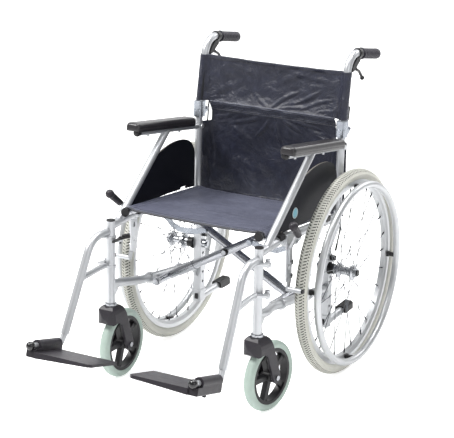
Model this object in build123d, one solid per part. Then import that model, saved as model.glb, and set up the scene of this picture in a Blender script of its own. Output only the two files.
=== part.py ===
from build123d import *
import math
import os

# Folding self-propelled wheelchair, in millimetres.
# Origin: on the floor, midway between the rear wheels, directly below their axle.
# +Z is up, the chair faces -Y and +X is the occupant's left. Left pieces are built
# and mirrored about the YZ plane for the right, unless a section says otherwise.

os.makedirs("parts", exist_ok=True)

# Rear wheels
TYRE_R = 300.0
WHEEL_X = 283.5  # wheel plane
AXLE_Z = 300.0
WHEEL_CENTRE = (WHEEL_X, 0, AXLE_Z)
WHEEL_AXLE = (0, AXLE_Z)  # (y, z)
HANDRIM_R = 259.0  # circle of the tube's centre
HANDRIM_TUBE_R = 10.0
HANDRIM_X = 323.0
SPOKES = 28
SPACER_LEAD = -2.7  # degrees from the wheel's own axes to the handrim spacers
AXLE_R = 6.35
HUB_BORE_R = 6.40

# Side frame
FRAME_X = 236.0  # plane of post, upper rail and cane
POST_Y = -442.0
POST_XY = (FRAME_X, POST_Y)
POST_TOP_Z = 478.0
TUBE_R = 12.7
WALL = 2.0
POST_BORE_R = 11.0
CANE_R = 11.0
AXLE_TUBE_X = 215.0
AXLE_TUBE_Y = 9.0
AXLE_TUBE_HALF = 13.0  # half the side of the square tube
AXLE_TUBE_OUT = AXLE_TUBE_X + AXLE_TUBE_HALF + 0.05  # just clear of its outer face
AXLE_TUBE_IN = AXLE_TUBE_X - AXLE_TUBE_HALF - 0.05
ARM_R = 9.0
BACK_HINGE = (56.0, 706.0)  # (y, z)

# Centre lines: corner points (x, y, z)
POST_PATH = [(FRAME_X, POST_Y, 237), (FRAME_X, POST_Y, POST_TOP_Z)]
UPPER_RAIL = [(FRAME_X, POST_Y, 463), (FRAME_X, -330, 471), (FRAME_X, 24, 451)]
UPPER_RAIL_BEND = 120
LOWER_RAIL = [(FRAME_X, POST_Y, 291), (FRAME_X, -395, 284),
              (AXLE_TUBE_X, -318, 273), (AXLE_TUBE_X, AXLE_TUBE_Y, 234)]
LOWER_RAIL_BEND = 60
CANE = [(AXLE_TUBE_X, AXLE_TUBE_Y, 322), (AXLE_TUBE_X, AXLE_TUBE_Y, 352),
        (FRAME_X, 25, 432), (FRAME_X, 33.5, 690)]
CANE_BENDS = [60, 90]
ARM = [(FRAME_X, -298, 700), (FRAME_X, 34, 655)]
DIAGONAL = [(FRAME_X, -410, 462), (FRAME_X, -150, 677)]
TIPPING_LEVER = [(AXLE_TUBE_X, AXLE_TUBE_Y, 125), (AXLE_TUBE_X, 60, 129), (213, 150, 134)]
UPPER_CANE = [(FRAME_X, 36.5, 708), (233.8, 68.5, 921), (234.6, 246, 891)]
UPPER_CANE_BEND = 52

# Cross brace
PIVOT_Z = 365.0  # where the cross tubes meet, x = 0
PIVOT_XZ = (0, PIVOT_Z)
HINGE_X = 190.0  # lower hinge axes, parallel to Y
HINGE_Z = 260.0
HINGE_XZ = (HINGE_X, HINGE_Z)
SLOPE = (PIVOT_Z - HINGE_Z) / HINGE_X
CROSS_R = 12.5
CROSS_FRONT_Y = -200.0
CROSS_REAR_Y = -172.0
SLEEVE_Y = (-266.0, -110.0)
SEAT_X = 213.0  # seat rails
SEAT_R = 11.0
SEAT_FRONT = (-400.0, 495.8)  # (y, z)
SEAT_REAR = (5.0, 467.2)

# Stay links: the left one runs in front of the front cross tube,
# the right one in front of the rear cross tube.
STAY_FRAME = (222.0, 434.3)  # (x, z) of the pin on the frame
STAY_BOLT_X = 82.0
STAY_BOLT = (STAY_BOLT_X, PIVOT_Z + SLOPE * STAY_BOLT_X)
STAY_THICK = 2.6
STAY_LEFT_Y = -215.6  # front faces
STAY_RIGHT_Y = -187.3

# Castors
CASTOR_R = 100.0
CASTOR_TRAIL = 55.6
CASTOR_SWIVEL_LEFT = -8.0  # degrees, rest angle of the left castor
CASTOR_AXLE = (POST_Y + CASTOR_TRAIL, CASTOR_R)  # (y, z)
CASTOR_CENTRE = (FRAME_X, *CASTOR_AXLE)

# Arm pad
PAD_OUT = 10.0  # outboard of the arm tube
PAD_FRONT = 26.0  # start along the tube
PAD_LENGTH = 322.0

# Hanger and footplate
SWING = (258.0, -430.0)  # (x, y) of the hanger's swivel axis
FOOT_REAR = Vector(252.0, -678.0, 186.0)  # footplate hinge line, rising to the front
FOOT_FRONT = Vector(252.0, -803.0, 217.5)

# Parking brake, points as (y, z)
BRAKE_Y = -300.0
BRAKE_PIVOT = (BRAKE_Y, 405.0)
SHOE_PIVOT = (BRAKE_Y, 366.0)
SHOE_BAR = (-312.0, 331.0)
BRAKE_X = FRAME_X + TUBE_R + 0.8  # inner face of the brake plate
PIVOT_HOLE_R = 4.06

ALONG_X, ALONG_Y, ALONG_Z = (1, 0, 0), (0, 1, 0), (0, 0, 1)
BASE_DOWN = (Align.CENTER, Align.CENTER, Align.MIN)

# Sign given to x by the helpers below: -1 only while the right side frame is built.
build_side = 1


# ---------------------------------------------------------------------------
# Helpers
# ---------------------------------------------------------------------------
def placed(point):
    x, y, z = point
    return Vector(build_side * x, y, z)


def direction(start, end):
    return (Vector(*end) - Vector(*start)).normalized()


def largest(shape):
    return max(shape.solids(), key=lambda solid: solid.volume)


def rod(start, end, radius, end_radius=None):
    """Cylinder from start to end, or a cone when end_radius is given."""
    base = placed(start)
    span = placed(end) - base
    plane = Plane(origin=base, z_dir=span)
    if end_radius is None:
        return plane * Cylinder(radius, span.length, align=BASE_DOWN)
    return plane * Cone(radius, end_radius, span.length, align=BASE_DOWN)


def rod_x(x0, x1, yz, radius):
    return rod((x0, *yz), (x1, *yz), radius)


def rod_y(y0, y1, xz, radius):
    return rod((xz[0], y0, xz[1]), (xz[0], y1, xz[1]), radius)


def rod_z(z0, z1, xy, radius):
    return rod((*xy, z0), (*xy, z1), radius)


def ball(centre, radius):
    return Pos(*placed(centre)) * Sphere(radius)


def box(low, high):
    size = [h - l for l, h in zip(low, high)]
    middle = [(h + l) / 2 for l, h in zip(low, high)]
    return Pos(*placed(middle)) * Box(*size)


def rounded_box(low, high, radius=6):
    """Box with its upright edges rounded."""
    return fillet(box(low, high).edges().filter_by(Axis.Z), radius)


def rounded_path(corners, bend):
    """Straight runs joined by arcs; bend is one radius, or a list for the inner corners."""
    radii = bend if isinstance(bend, list) else [bend] * (len(corners) - 2)
    edges, start = [], corners[0]
    for before, corner, after, radius in zip(corners, corners[1:], corners[2:], radii):
        back = (before - corner).normalized()
        ahead = (after - corner).normalized()
        half_angle = math.acos(back.dot(ahead)) / 2
        setback = radius / math.tan(half_angle)
        arc_start, arc_end = corner + back * setback, corner + ahead * setback
        bisector = (back + ahead).normalized()
        arc_middle = corner + bisector * (radius / math.sin(half_angle) - radius)
        edges.append(Edge.make_line(start, arc_start))
        edges.append(Edge.make_three_point_arc(arc_start, arc_middle, arc_end))
        start = arc_end
    edges.append(Edge.make_line(start, corners[-1]))
    return Wire(edges)


def pipe(points, radius, bend=0, grow=0.0):
    """Round bar along the points; grow lengthens both ends."""
    corners = [Vector(*point) for point in points]
    if grow:
        corners[0] = corners[0] + (corners[0] - corners[1]).normalized() * grow
        corners[-1] = corners[-1] + (corners[-1] - corners[-2]).normalized() * grow
    if len(corners) == 2:
        return rod(*corners, radius)
    corners = [placed(corner) for corner in corners]
    start_plane = Plane(origin=corners[0], z_dir=corners[1] - corners[0])
    return sweep(start_plane * Circle(radius), path=rounded_path(corners, bend))


def bar(start, end, width, thick, normal):
    """Flat bar with rounded ends; normal is square to its flat."""
    base = placed(start)
    span = placed(end) - base
    plane = Plane(origin=base, x_dir=span, z_dir=placed(normal))
    shape = plane * (Pos(span.length / 2, 0, 0) * Box(span.length, width, thick))
    shape += plane * Cylinder(width / 2, thick)
    shape += plane * (Pos(span.length, 0, 0) * Cylinder(width / 2, thick))
    return shape


def polygon(points):
    return make_face(Polyline(*points, close=True))


def yz_plate(outline, x0, x1):
    """Outline given as (y, z), from x0 to x1."""
    x0, x1 = sorted((build_side * x0, build_side * x1))
    plane = Plane(origin=(x0, 0, 0), x_dir=ALONG_Y, z_dir=ALONG_X)
    return plane * extrude(polygon(outline), amount=x1 - x0)


def xz_plate(outline, y0, y1):
    """Outline given as (x, z), from y0 to y1."""
    face = polygon([(build_side * x, -z) for x, z in outline])
    return Plane(origin=(0, y0, 0), x_dir=ALONG_X, z_dir=ALONG_Y) * extrude(face, amount=y1 - y0)


def spin(face):
    """Turn a face of (radius, along) points about Z."""
    return revolve(Plane.XZ * face, axis=Axis.Z)


def spin_x(face, centre):
    return Pos(*centre) * (Rot(0, 90, 0) * spin(face))


def profile_face(profile):
    """Face to spin, from (along axis, radius) pairs."""
    return polygon([(radius, along) for along, radius in profile])


def tyre(base, flank, crown_radius, centre):
    """Tyre about X; base and flank list (radius, half width) outward from the rim."""
    run = base + flank[:1]
    far_run = [(radius, -half) for radius, half in run]
    corners = far_run[:1] + run
    tread = flank + [(crown_radius, 0)] + [(radius, -half) for radius, half in flank[::-1]]
    edges = [Edge.make_line(p, q) for p, q in zip(corners, corners[1:])]
    edges.append(Edge.make_spline(tread))
    far_run.reverse()
    edges += [Edge.make_line(p, q) for p, q in zip(far_run, far_run[1:])]
    return spin_x(make_face(Wire(edges)), centre)


def line_z(y, start, end):
    """Height at y on the line through two (y, z) points."""
    t = (y - start[0]) / (end[0] - start[0])
    return start[1] + t * (end[1] - start[1])


def seat_rail_z(y):
    return line_z(y, SEAT_FRONT, SEAT_REAR)


def upper_rail_z(y):
    if y < -330:
        return line_z(y, (POST_Y, 463), (-330, 471))
    return line_z(y, (-330, 471), (20, 451))


def upper_cane_at(z, side):
    """Point at height z on the upright run of the upper cane."""
    (x0, y0, z0), (x1, y1, z1) = UPPER_CANE[:2]
    t = (z - z0) / (z1 - z0)
    return (side * (x0 + t * (x1 - x0)), y0 + t * (y1 - y0), z)


def solids_of(shape):
    if isinstance(shape, list):
        return [solid for item in shape for solid in item.solids()]
    return list(shape.solids())


def write(name, shape):
    solids = solids_of(shape)
    out = solids[0] if len(solids) == 1 else Compound(children=solids)
    export_step(out, f"parts/{name}.step")


def write_pair(name, shape):
    solids = solids_of(shape)
    write(name + "_left", solids)
    write(name + "_right", [solid.mirror(Plane.YZ) for solid in solids])


ARM_BACK = direction(*ARM)
SEAT_BACK = direction((0, *SEAT_FRONT), (0, *SEAT_REAR))
FOOT_FORWARD = direction(FOOT_REAR, FOOT_FRONT)
GRIP_BACK = direction(UPPER_CANE[1], UPPER_CANE[2])


# ---------------------------------------------------------------------------
# Side frame
# ---------------------------------------------------------------------------
def stay_lug(y_front):
    """Lug below the upper rail with the stay's pin; y_front is the link's front face."""
    x, z = STAY_FRAME
    lug = xz_plate([(FRAME_X - 10, 458), (x - 8, z), (x - 5, z - 7), (x + 6, z - 7),
                    (FRAME_X + 6, 446), (FRAME_X + 7, 458)], y_front + 3.1, y_front + 6.6)
    lug += rod_y(y_front - 0.2, y_front + 6, STAY_FRAME, 5.0)
    lug += rod_y(y_front - 5.2, y_front - 0.4, STAY_FRAME, 8.0)
    lug += rod_y(y_front - 0.5, y_front, STAY_FRAME, 5.0)
    lug -= pipe(UPPER_RAIL, TUBE_R - 1, UPPER_RAIL_BEND)
    return largest(lug)


def hinge_bracket(y0, y1):
    """Clamp on the lower rail, reaching in to the cross hinge."""
    y = (y0 + y1) / 2
    rail_z = line_z(y, LOWER_RAIL[2][1:], LOWER_RAIL[3][1:])
    bracket = rod_y(y0, y1, (AXLE_TUBE_X, rail_z), 17.0)
    bracket += bar((AXLE_TUBE_X, y, rail_z), (HINGE_X, y, HINGE_Z), 24, y1 - y0, ALONG_Y)
    bracket -= pipe(LOWER_RAIL, TUBE_R - 0.6, LOWER_RAIL_BEND)
    return bracket


def cross_hinge():
    hinge = hinge_bracket(-276, -266.5)
    hinge += hinge_bracket(-109.5, -100)
    hinge += rod_y(-276, -100, HINGE_XZ, 6.0)
    hinge += rod_y(-281, -276, HINGE_XZ, 9.0)
    return hinge


def frame_tubes():
    half, collar = AXLE_TUBE_HALF, AXLE_TUBE_HALF + 2
    tubes = pipe(POST_PATH, TUBE_R)
    tubes += pipe(UPPER_RAIL, TUBE_R, UPPER_RAIL_BEND)
    tubes += pipe(LOWER_RAIL, TUBE_R, LOWER_RAIL_BEND)
    tubes += box((AXLE_TUBE_X - half, AXLE_TUBE_Y - half, 116),
                 (AXLE_TUBE_X + half, AXLE_TUBE_Y + half, 336))
    tubes += pipe(CANE, CANE_R, CANE_BENDS)
    tubes += pipe(ARM, ARM_R)
    tubes += pipe(DIAGONAL, CANE_R)
    tubes += pipe(TIPPING_LEVER, CANE_R, 60)
    tubes += box((AXLE_TUBE_X - collar, AXLE_TUBE_Y - collar, 146),
                 (AXLE_TUBE_X + collar, AXLE_TUBE_Y + collar, 154))
    # gussets below the lower rail, at the post and at the axle tube
    tubes += yz_plate([(-432, 282), (-400, 276), (-431, 246)], FRAME_X - 2.5, FRAME_X + 2.5)
    tubes += yz_plate([(-2, 228), (-40, 230), (-3, 196)], AXLE_TUBE_X - 2.5, AXLE_TUBE_X + 2.5)
    return tubes


def frame_bores():
    """Bores, all open into one another and at the foot of the post."""
    half = AXLE_TUBE_HALF - WALL
    bores = rod_z(230, 472, POST_XY, POST_BORE_R)
    bores += pipe(UPPER_RAIL, TUBE_R - WALL, UPPER_RAIL_BEND)
    bores += pipe(LOWER_RAIL, TUBE_R - WALL, LOWER_RAIL_BEND)
    bores += box((AXLE_TUBE_X - half, AXLE_TUBE_Y - half, 118),
                 (AXLE_TUBE_X + half, AXLE_TUBE_Y + half, 333))
    bores += pipe(CANE[:-1] + [(FRAME_X, 33.5, 700)], CANE_R - WALL, CANE_BENDS)
    return bores


def hanger_lug(z0, z1):
    z = (z0 + z1) / 2
    lug = bar((FRAME_X + 12, POST_Y + 6, z), (*SWING, z), 18, z1 - z0, ALONG_Z)
    lug += rod_z(z0, z1, POST_XY, 15.4)
    lug -= rod_z(z0 - 1, z1 + 1, POST_XY, TUBE_R - 0.5)
    lug -= rod_z(z0 - 1, z1 + 1, SWING, 5.05)
    return lug


LATCH_PIN = (FRAME_X - 20, POST_Y + 18)  # (x, y)


def latch_lug():
    """Lug for the hanger latch, inboard of the post."""
    lug = bar((FRAME_X - 10, POST_Y + 8, 419), (*LATCH_PIN, 419), 15, 6, ALONG_Z)
    lug -= rod_z(400, 440, POST_XY, TUBE_R - 0.5)
    lug -= rod_z(400, 440, LATCH_PIN, 3.05)
    return lug


# Ear of the lower back hinge, (y, z)
HINGE_EAR = [(44, 690), (56, 697), (61, 701), (61.5, 706), (60, 710.5), (56, 712.2),
             (51, 710), (49, 705.7), (44, 705.7)]


def back_hinge_lower():
    """Cup round the cane, two ears and the pin."""
    cup = rounded_box((FRAME_X - 14, 20, 684), (FRAME_X + 14, 50, 705.7))
    cup -= rod_x(FRAME_X - 15, FRAME_X + 15, BACK_HINGE, 7.2)
    for x0, x1 in ((-14, -7.1), (7.1, 14)):
        cup += yz_plate(HINGE_EAR, FRAME_X + x0, FRAME_X + x1)
    cup += rod_x(FRAME_X - 17, FRAME_X + 17, BACK_HINGE, 3.0)
    return cup


def side_frame(stay_y):
    frame = frame_tubes()
    frame -= frame_bores()
    # cross holes of the axle tube: spare heights, the axle, and one above it
    for z, radius in ((180, 4.5), (210, 4.5), (270, 4.5), (AXLE_Z, 6.6), (AXLE_Z + 30, 4.2)):
        frame -= rod_x(AXLE_TUBE_X - 20, AXLE_TUBE_X + 20, (AXLE_TUBE_Y, z), radius)
    frame += hanger_lug(428.0, 435.7)
    frame += hanger_lug(341.0, 348.7)
    frame += latch_lug()
    frame += cross_hinge()
    frame += back_hinge_lower()
    # reopen the cane's bore through the cup
    frame -= rod((FRAME_X, 33.2, 680), (FRAME_X, 34.2, 710), CANE_R - WALL)
    # rear eye of the arm tube, round the cane
    eye = rod_x(FRAME_X - 13.5, FRAME_X + 13.5, ARM[1][1:], 7.0)
    frame += eye - rod((FRAME_X, 31.8, 640), (FRAME_X, 33, 675), CANE_R - 1)
    # screws under the arm tube
    for y in (-250, -80):
        z = line_z(y, ARM[0][1:], ARM[1][1:])
        frame += rod_z(z - 12.5, z, (FRAME_X, y), 3.5)
    return frame + stay_lug(stay_y)


# ---------------------------------------------------------------------------
# Plugs and saddles
# ---------------------------------------------------------------------------
def arm_plug():
    """Collar and ball on the front end of the arm tube."""
    front = Vector(*ARM[0])
    plug = rod(front, front - ARM_BACK * 5, 9.5) + ball(front - ARM_BACK * 9, 11.0)
    return plug - rod(front + ARM_BACK * 30, front, 20)


def tipping_tread():
    """Grooved cap on the end of the tipping lever."""
    end = Vector(*TIPPING_LEVER[2])
    along = direction(TIPPING_LEVER[1], end)
    plane = Plane(origin=end, x_dir=along, z_dir=(0, -along.Z, along.Y))
    cap = Box(56, 32, 28)
    cap = plane * (Pos(-8, 0, 1) * chamfer(cap.edges().filter_by(Axis.X), 5))
    cap -= plane * (Pos(-22, 0, -16) * (Rot(0, 14, 0) * Box(44, 40, 14)))
    for k in range(6):
        cap -= plane * (Pos(-30 + k * 8.5, 0, 15.6) * Box(3.2, 40, 3.4))
    cap = largest(cap)
    cap -= rod(end - along * 60, end, CANE_R + 0.02)
    return largest(cap)


def saddle(y0, y1):
    """Cradle on the upper rail that the seat rail drops into."""
    block = xz_plate([(FRAME_X - 33, 440), (FRAME_X + 13, 440),
                      (FRAME_X + 13, 500), (FRAME_X - 33, 500)], y0, y1)
    y = (y0 + y1) / 2
    seat_z, rail_z = seat_rail_z(y), upper_rail_z(y)
    block = block & xz_plate([
        (SEAT_X - 12, seat_z - 14), (SEAT_X + 13, seat_z - 14),
        (FRAME_X + 14, rail_z + 2), (FRAME_X + 14, rail_z + 16),
        (SEAT_X + 12.6, seat_z + 2), (SEAT_X + 10, seat_z - 2),
        (SEAT_X - 10, seat_z - 4), (SEAT_X - 13, seat_z - 3)], y0, y1)
    block -= pipe(UPPER_RAIL, TUBE_R + 0.05, UPPER_RAIL_BEND)
    block -= rod((SEAT_X, *SEAT_FRONT), (SEAT_X, *SEAT_REAR), SEAT_R + 0.3)
    block -= pipe(DIAGONAL, CANE_R + 0.05)
    return block


def frame_plugs():
    post_cap = rod_z(POST_TOP_Z, POST_TOP_Z + 3, POST_XY, TUBE_R)
    # small block on the front face of the axle tube, near its foot
    front_block = box((AXLE_TUBE_X - 5, AXLE_TUBE_Y - 16.5, 125),
                      (AXLE_TUBE_X + 5, AXLE_TUBE_Y - AXLE_TUBE_HALF, 141))
    return [post_cap, arm_plug(), tipping_tread(), front_block,
            saddle(-345, -318), saddle(-70, -44)]


# ---------------------------------------------------------------------------
# Arm pad and side panel
# ---------------------------------------------------------------------------
def arm_pad():
    # the plane's x runs back along the arm tube, its -y is outboard
    plane = Plane(origin=(FRAME_X, -346, 706.5), x_dir=ARM_BACK,
                  z_dir=(0, -ARM_BACK.Z, ARM_BACK.Y))
    pad = plane * (Pos(PAD_FRONT + PAD_LENGTH / 2, -PAD_OUT, 15) * Box(PAD_LENGTH, 47, 26))
    pad = fillet(pad.edges(), 9)
    pad -= pipe(ARM, ARM_R + 0.05, grow=1)
    front = Vector(*ARM[0])
    pad -= ball(front - ARM_BACK * 9, 11.4) + rod(front, front - ARM_BACK * 6, 9.8)
    return pad


# Side panel edges, (y, z)
PANEL_TOP = [(-205, 615), (-150, 630), (-80, 634), (-20, 618), (8, 575)]
PANEL_BOTTOM = [(8, 474), (-60, 481), (-140, 486), (-250, 487), (-357, 490)]


def side_panel():
    outline = Wire([
        Edge.make_line(PANEL_BOTTOM[-1], PANEL_TOP[0]),
        Edge.make_spline(PANEL_TOP),
        Edge.make_line(PANEL_TOP[-1], PANEL_BOTTOM[0]),
        Edge.make_spline(PANEL_BOTTOM),
    ])
    plane = Plane(origin=(FRAME_X - 2.2, 0, 0), x_dir=ALONG_Y, z_dir=ALONG_X)
    panel = plane * extrude(make_face(outline), amount=4.4)
    panel -= pipe(DIAGONAL, CANE_R + 0.05, grow=10)
    panel -= pipe(CANE, CANE_R + 0.05, CANE_BENDS)
    panel -= pipe(UPPER_RAIL, TUBE_R + 0.1, UPPER_RAIL_BEND)
    # notches round the saddles
    panel -= (box((FRAME_X - 5, -347, 400), (FRAME_X + 5, -316, 494.5))
              + box((FRAME_X - 5, -72, 400), (FRAME_X + 5, -42, 488)))
    return largest(panel)


# ---------------------------------------------------------------------------
# Rear axle and wheel
# ---------------------------------------------------------------------------
def axle_receiver():
    """The receiver stands on the axle tube and brings the axle line onto y = 0."""
    receiver = rod_x(AXLE_TUBE_OUT, 246.3, WHEEL_AXLE, 15.0)
    receiver += rod_x(AXLE_TUBE_OUT, AXLE_TUBE_X + 17, WHEEL_AXLE, 18.0)
    receiver -= rod_x(AXLE_TUBE_X, 250, WHEEL_AXLE, AXLE_R + 0.01)
    axle = rod_x(AXLE_TUBE_OUT, 318, WHEEL_AXLE, AXLE_R) + rod_x(318.2, 321, WHEEL_AXLE, 9.0)
    axle += rod_x(317, 319, WHEEL_AXLE, AXLE_R)
    tube_hole = (AXLE_TUBE_Y, AXLE_Z)
    inner_nut = rod_x(AXLE_TUBE_X - 26, AXLE_TUBE_IN, tube_hole, 13.0)
    inner_nut += rod_x(AXLE_TUBE_X - 30, AXLE_TUBE_X - 25, tube_hole, 7.0)
    upper_hole = (AXLE_TUBE_Y, AXLE_Z + 30)
    anchor_out = rod_x(AXLE_TUBE_OUT, AXLE_TUBE_X + 27, upper_hole, 8.0)
    anchor_in = rod_x(AXLE_TUBE_X - 24, AXLE_TUBE_IN, upper_hole, 7.5)
    return [receiver, axle, inner_nut, anchor_out, anchor_in]


# Profiles about the axle: (along X from the wheel plane, radius)
HUB_PROFILE = [
    (-36.7, HUB_BORE_R), (-36.7, 14), (-27, 14), (-25, 20), (-25, 22), (-21.5, 22),
    (-21.5, 20), (-17, 11.5), (15, 11.5), (18.5, 20), (18.5, 22), (22, 22), (22, 20),
    (25, 14), (34.4, 13), (34.4, HUB_BORE_R)]
RIM_PROFILE = [
    (-12.5, 270), (-11.2, 270), (-10, 267), (10, 267), (11.2, 270), (12.5, 270),
    (12.5, 258), (7, 249), (-7, 249), (-12.5, 258)]
# Tyre section: (radius, half width)
TYRE_BASE = [(267.05, 9.9), (270.4, 11.1)]
TYRE_FLANK = [(270.4, 12.7), (276.5, 16.6), (283.5, 17.5), (291.8, 15.2), (297.8, 9.5)]


def rear_hub():
    return spin_x(profile_face(HUB_PROFILE), WHEEL_CENTRE)


def rear_rim():
    return spin_x(profile_face(RIM_PROFILE), WHEEL_CENTRE)


def rear_tyre():
    return tyre(TYRE_BASE, TYRE_FLANK, TYRE_R, WHEEL_CENTRE)


def on_wheel(x, radius, angle):
    return Vector(x, radius * math.cos(angle), AXLE_Z + radius * math.sin(angle))


def rear_spokes():
    """Spokes alternate between the hub flanges and cross in pairs; each has a nipple."""
    spokes = []
    for k in range(SPOKES):
        outer = k % 2
        rim_angle = 2 * math.pi * k / SPOKES
        lead = (1 if (k // 2) % 2 else -1) * math.radians(62)
        hub_end = on_wheel(WHEEL_X + (20.2 if outer else -23.2), 21.0, rim_angle + lead)
        rim_end = on_wheel(WHEEL_X + (2.5 if outer else -2.5), 249.0, rim_angle)
        along = (rim_end - hub_end).normalized()
        spokes.append(rod(hub_end, rim_end + along * 1.5, 1.1)
                      + rod(rim_end - along * 12, rim_end + along * 1.2, 2.0))
    return spokes


def handrim():
    torus = Torus(HANDRIM_R, HANDRIM_TUBE_R)
    return Pos(HANDRIM_X, 0, AXLE_Z) * (Rot(0, 90, 0) * torus)


def handrim_spacers():
    ring, rim = handrim(), rear_rim()
    spacers = []
    for k in range(4):
        turn = Pos(0, 0, AXLE_Z) * Rot(90 * k + SPACER_LEAD, 0, 0)
        spacer = turn * (Pos(307.5, 0, 254.5) * Box(25, 11, 9))
        spacer += turn * (Pos(299, 0, 254) * Box(8, 14, 12))
        spacers.append(largest(spacer - ring - rim))
    return spacers


# ---------------------------------------------------------------------------
# Castor, built straight behind its stem at the left post
# ---------------------------------------------------------------------------
# Fork from the side: (y behind the stem axis, z)
FORK_SIDE = [
    (-19, 229.5), (18, 229.5), (27, 222), (37, 200), (71, 106), (71.5, 98), (66, 88),
    (56, 84.5), (46, 88), (40, 98), (14, 172), (2, 182), (-12, 182), (-25, 178),
    (-33, 184), (-35.5, 196), (-33, 210), (-27, 222)]
# Fork from the front: (half width, z)
FORK_FRONT = [(30, 60), (30, 200), (28.5, 210), (25, 220), (18.5, 229.6)]
# Stem and its bearings: (z, radius)
STEM_PROFILE = [
    (196, 0.0), (196, 5.95), (229.6, 5.95), (229.6, 17), (236.6, 17), (236.6, 10.95),
    (256, 10.95), (256, 6), (290, 6), (290, 10.95), (304, 10.95), (304, 6), (310, 6),
    (310, 0.0)]
CASTOR_BORE_R = 4.06
# Wheel hub and ring: (along X, radius)
CASTOR_HUB = [(-17, CASTOR_BORE_R), (-17, 15), (-13, 17), (13, 17), (17, 15),
              (17, CASTOR_BORE_R)]
CASTOR_RING = [(-12, 70), (12, 70), (13, 72), (13, 79.9), (-13, 79.9), (-13, 72)]
# Tyre section: (radius, half width)
CASTOR_TYRE_BASE = [(80.0, 13.0)]
CASTOR_TYRE_FLANK = [(80.6, 13.2), (85, 15), (92, 14.2), (97.8, 9.5)]


def castor_fork():
    axle_y = CASTOR_AXLE[0]
    in0, in1 = FRAME_X - 21.5, FRAME_X + 21.5
    out0, out1 = FRAME_X - 30, FRAME_X + 30
    fork = yz_plate([(POST_Y + y, z) for y, z in FORK_SIDE], out0, out1)
    gap = rod_x(in0, in1, CASTOR_AXLE, 106.5)
    gap += box((in0, axle_y - 60, 60), (in1, axle_y + 60, 110))
    fork -= gap
    fork += rod_x(out0, in0, CASTOR_AXLE, 13) + rod_x(in1, out1, CASTOR_AXLE, 13)
    crown = rod((*POST_XY, 206), (*POST_XY, 229.5), 31, 21)
    fork += crown - gap
    # the hood narrows to the stem and its front is round in plan
    front = [(FRAME_X - half, z) for half, z in FORK_FRONT]
    front += [(FRAME_X + half, z) for half, z in FORK_FRONT[::-1]]
    fork = fork & xz_plate(front, POST_Y - 60, POST_Y + 100)
    fork -= (box((FRAME_X - 45, POST_Y - 60, 165), (FRAME_X + 45, POST_Y + 4, 240))
             - rod_z(160, 245, POST_XY, 35.5))
    fork -= rod_z(190, 240, POST_XY, 6.0)
    fork -= rod_x(FRAME_X - 40, FRAME_X + 40, CASTOR_AXLE, 4.02)
    return largest(fork)


def castor_hardware():
    stem = Pos(*POST_XY, 0) * spin(profile_face(STEM_PROFILE))
    axle = (rod_x(FRAME_X - 33.5, FRAME_X + 33.5, CASTOR_AXLE, 4.0)
            + rod_x(FRAME_X - 34, FRAME_X - 30.05, CASTOR_AXLE, 7)
            + rod_x(FRAME_X + 30.05, FRAME_X + 34, CASTOR_AXLE, 7))
    return [stem, axle]


def castor_wheel():
    """Hub, ring and five spokes."""
    wheel = spin_x(profile_face(CASTOR_HUB), CASTOR_CENTRE)
    wheel += spin_x(profile_face(CASTOR_RING), CASTOR_CENTRE)
    for k in range(5):
        turn = Pos(*CASTOR_CENTRE) * Rot(90 + 72 * k, 0, 0)
        spoke = Plane(origin=(0, 0, 12), z_dir=ALONG_Z) * Box(16, 15, 60, align=BASE_DOWN)
        wheel += turn * spoke
    wheel -= rod_x(FRAME_X - 20, FRAME_X + 20, CASTOR_AXLE, CASTOR_BORE_R)
    return wheel


def castor_tyre():
    return tyre(CASTOR_TYRE_BASE, CASTOR_TYRE_FLANK, CASTOR_R, CASTOR_CENTRE)


def write_castor(name, shape):
    """The left castor is swivelled; the right one is the straight castor mirrored."""
    swivel = Pos(*POST_XY, 0) * Rot(0, 0, CASTOR_SWIVEL_LEFT) * Pos(-FRAME_X, -POST_Y, 0)
    solids = solids_of(shape)
    write(name + "_left", [swivel * solid for solid in solids])
    write(name + "_right", [solid.mirror(Plane.YZ) for solid in solids])


# ---------------------------------------------------------------------------
# Swing-away hanger, its latch and its footplate
# ---------------------------------------------------------------------------
def hanger():
    shape = pipe([(238, -458, 447), (241, -528, 449), (249, -650, 205)], 11.5, 62)
    shape += rod((249, -648, 208), (251.5, -664, 184), 8.5)
    shape += ball((251.6, -665, 184), 8.8)
    shape += rod(FOOT_REAR - FOOT_FORWARD * 14, FOOT_FRONT - FOOT_FORWARD * 9, 8.0)
    shape += pipe([(243, -580, 345), (240, -500, 352), (240, -466, 352)], 8.5, 60)
    # arms and pins at the two swivel lugs
    for z0, z1 in ((436.0, 442.0), (349.0, 355.0)):
        z = (z0 + z1) / 2
        shape += (bar((241, -466, z), (264, -455, z), 14, 6, ALONG_Z)
                  + bar((264, -455, z), (*SWING, z), 14, 6, ALONG_Z))
        shape += rod_z(z0 - 12, z1 + 4, SWING, 5.0)
        shape += rod_z(z1, z1 + 6, SWING, 7.0)
    # catch for the latch hook, inboard of the front tube
    shape += box((226, -478, 436), (240, -468, 441))
    shape -= rod_z(330, 460, POST_XY, TUBE_R + 1.0)
    return shape


def hanger_latch():
    tail = (FRAME_X - 29, POST_Y + 44)
    latch = bar((*LATCH_PIN, 425), (*tail, 425), 13, 5.6, ALONG_Z)
    latch += bar((*LATCH_PIN, 425), (FRAME_X - 22, POST_Y - 20, 425), 8, 5.6, ALONG_Z)
    latch += bar((FRAME_X - 24, POST_Y + 30, 427.6), (*tail, 427.6), 11, 10, ALONG_Z)
    latch += rod_z(410, 430, LATCH_PIN, 3.0)
    return latch


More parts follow.
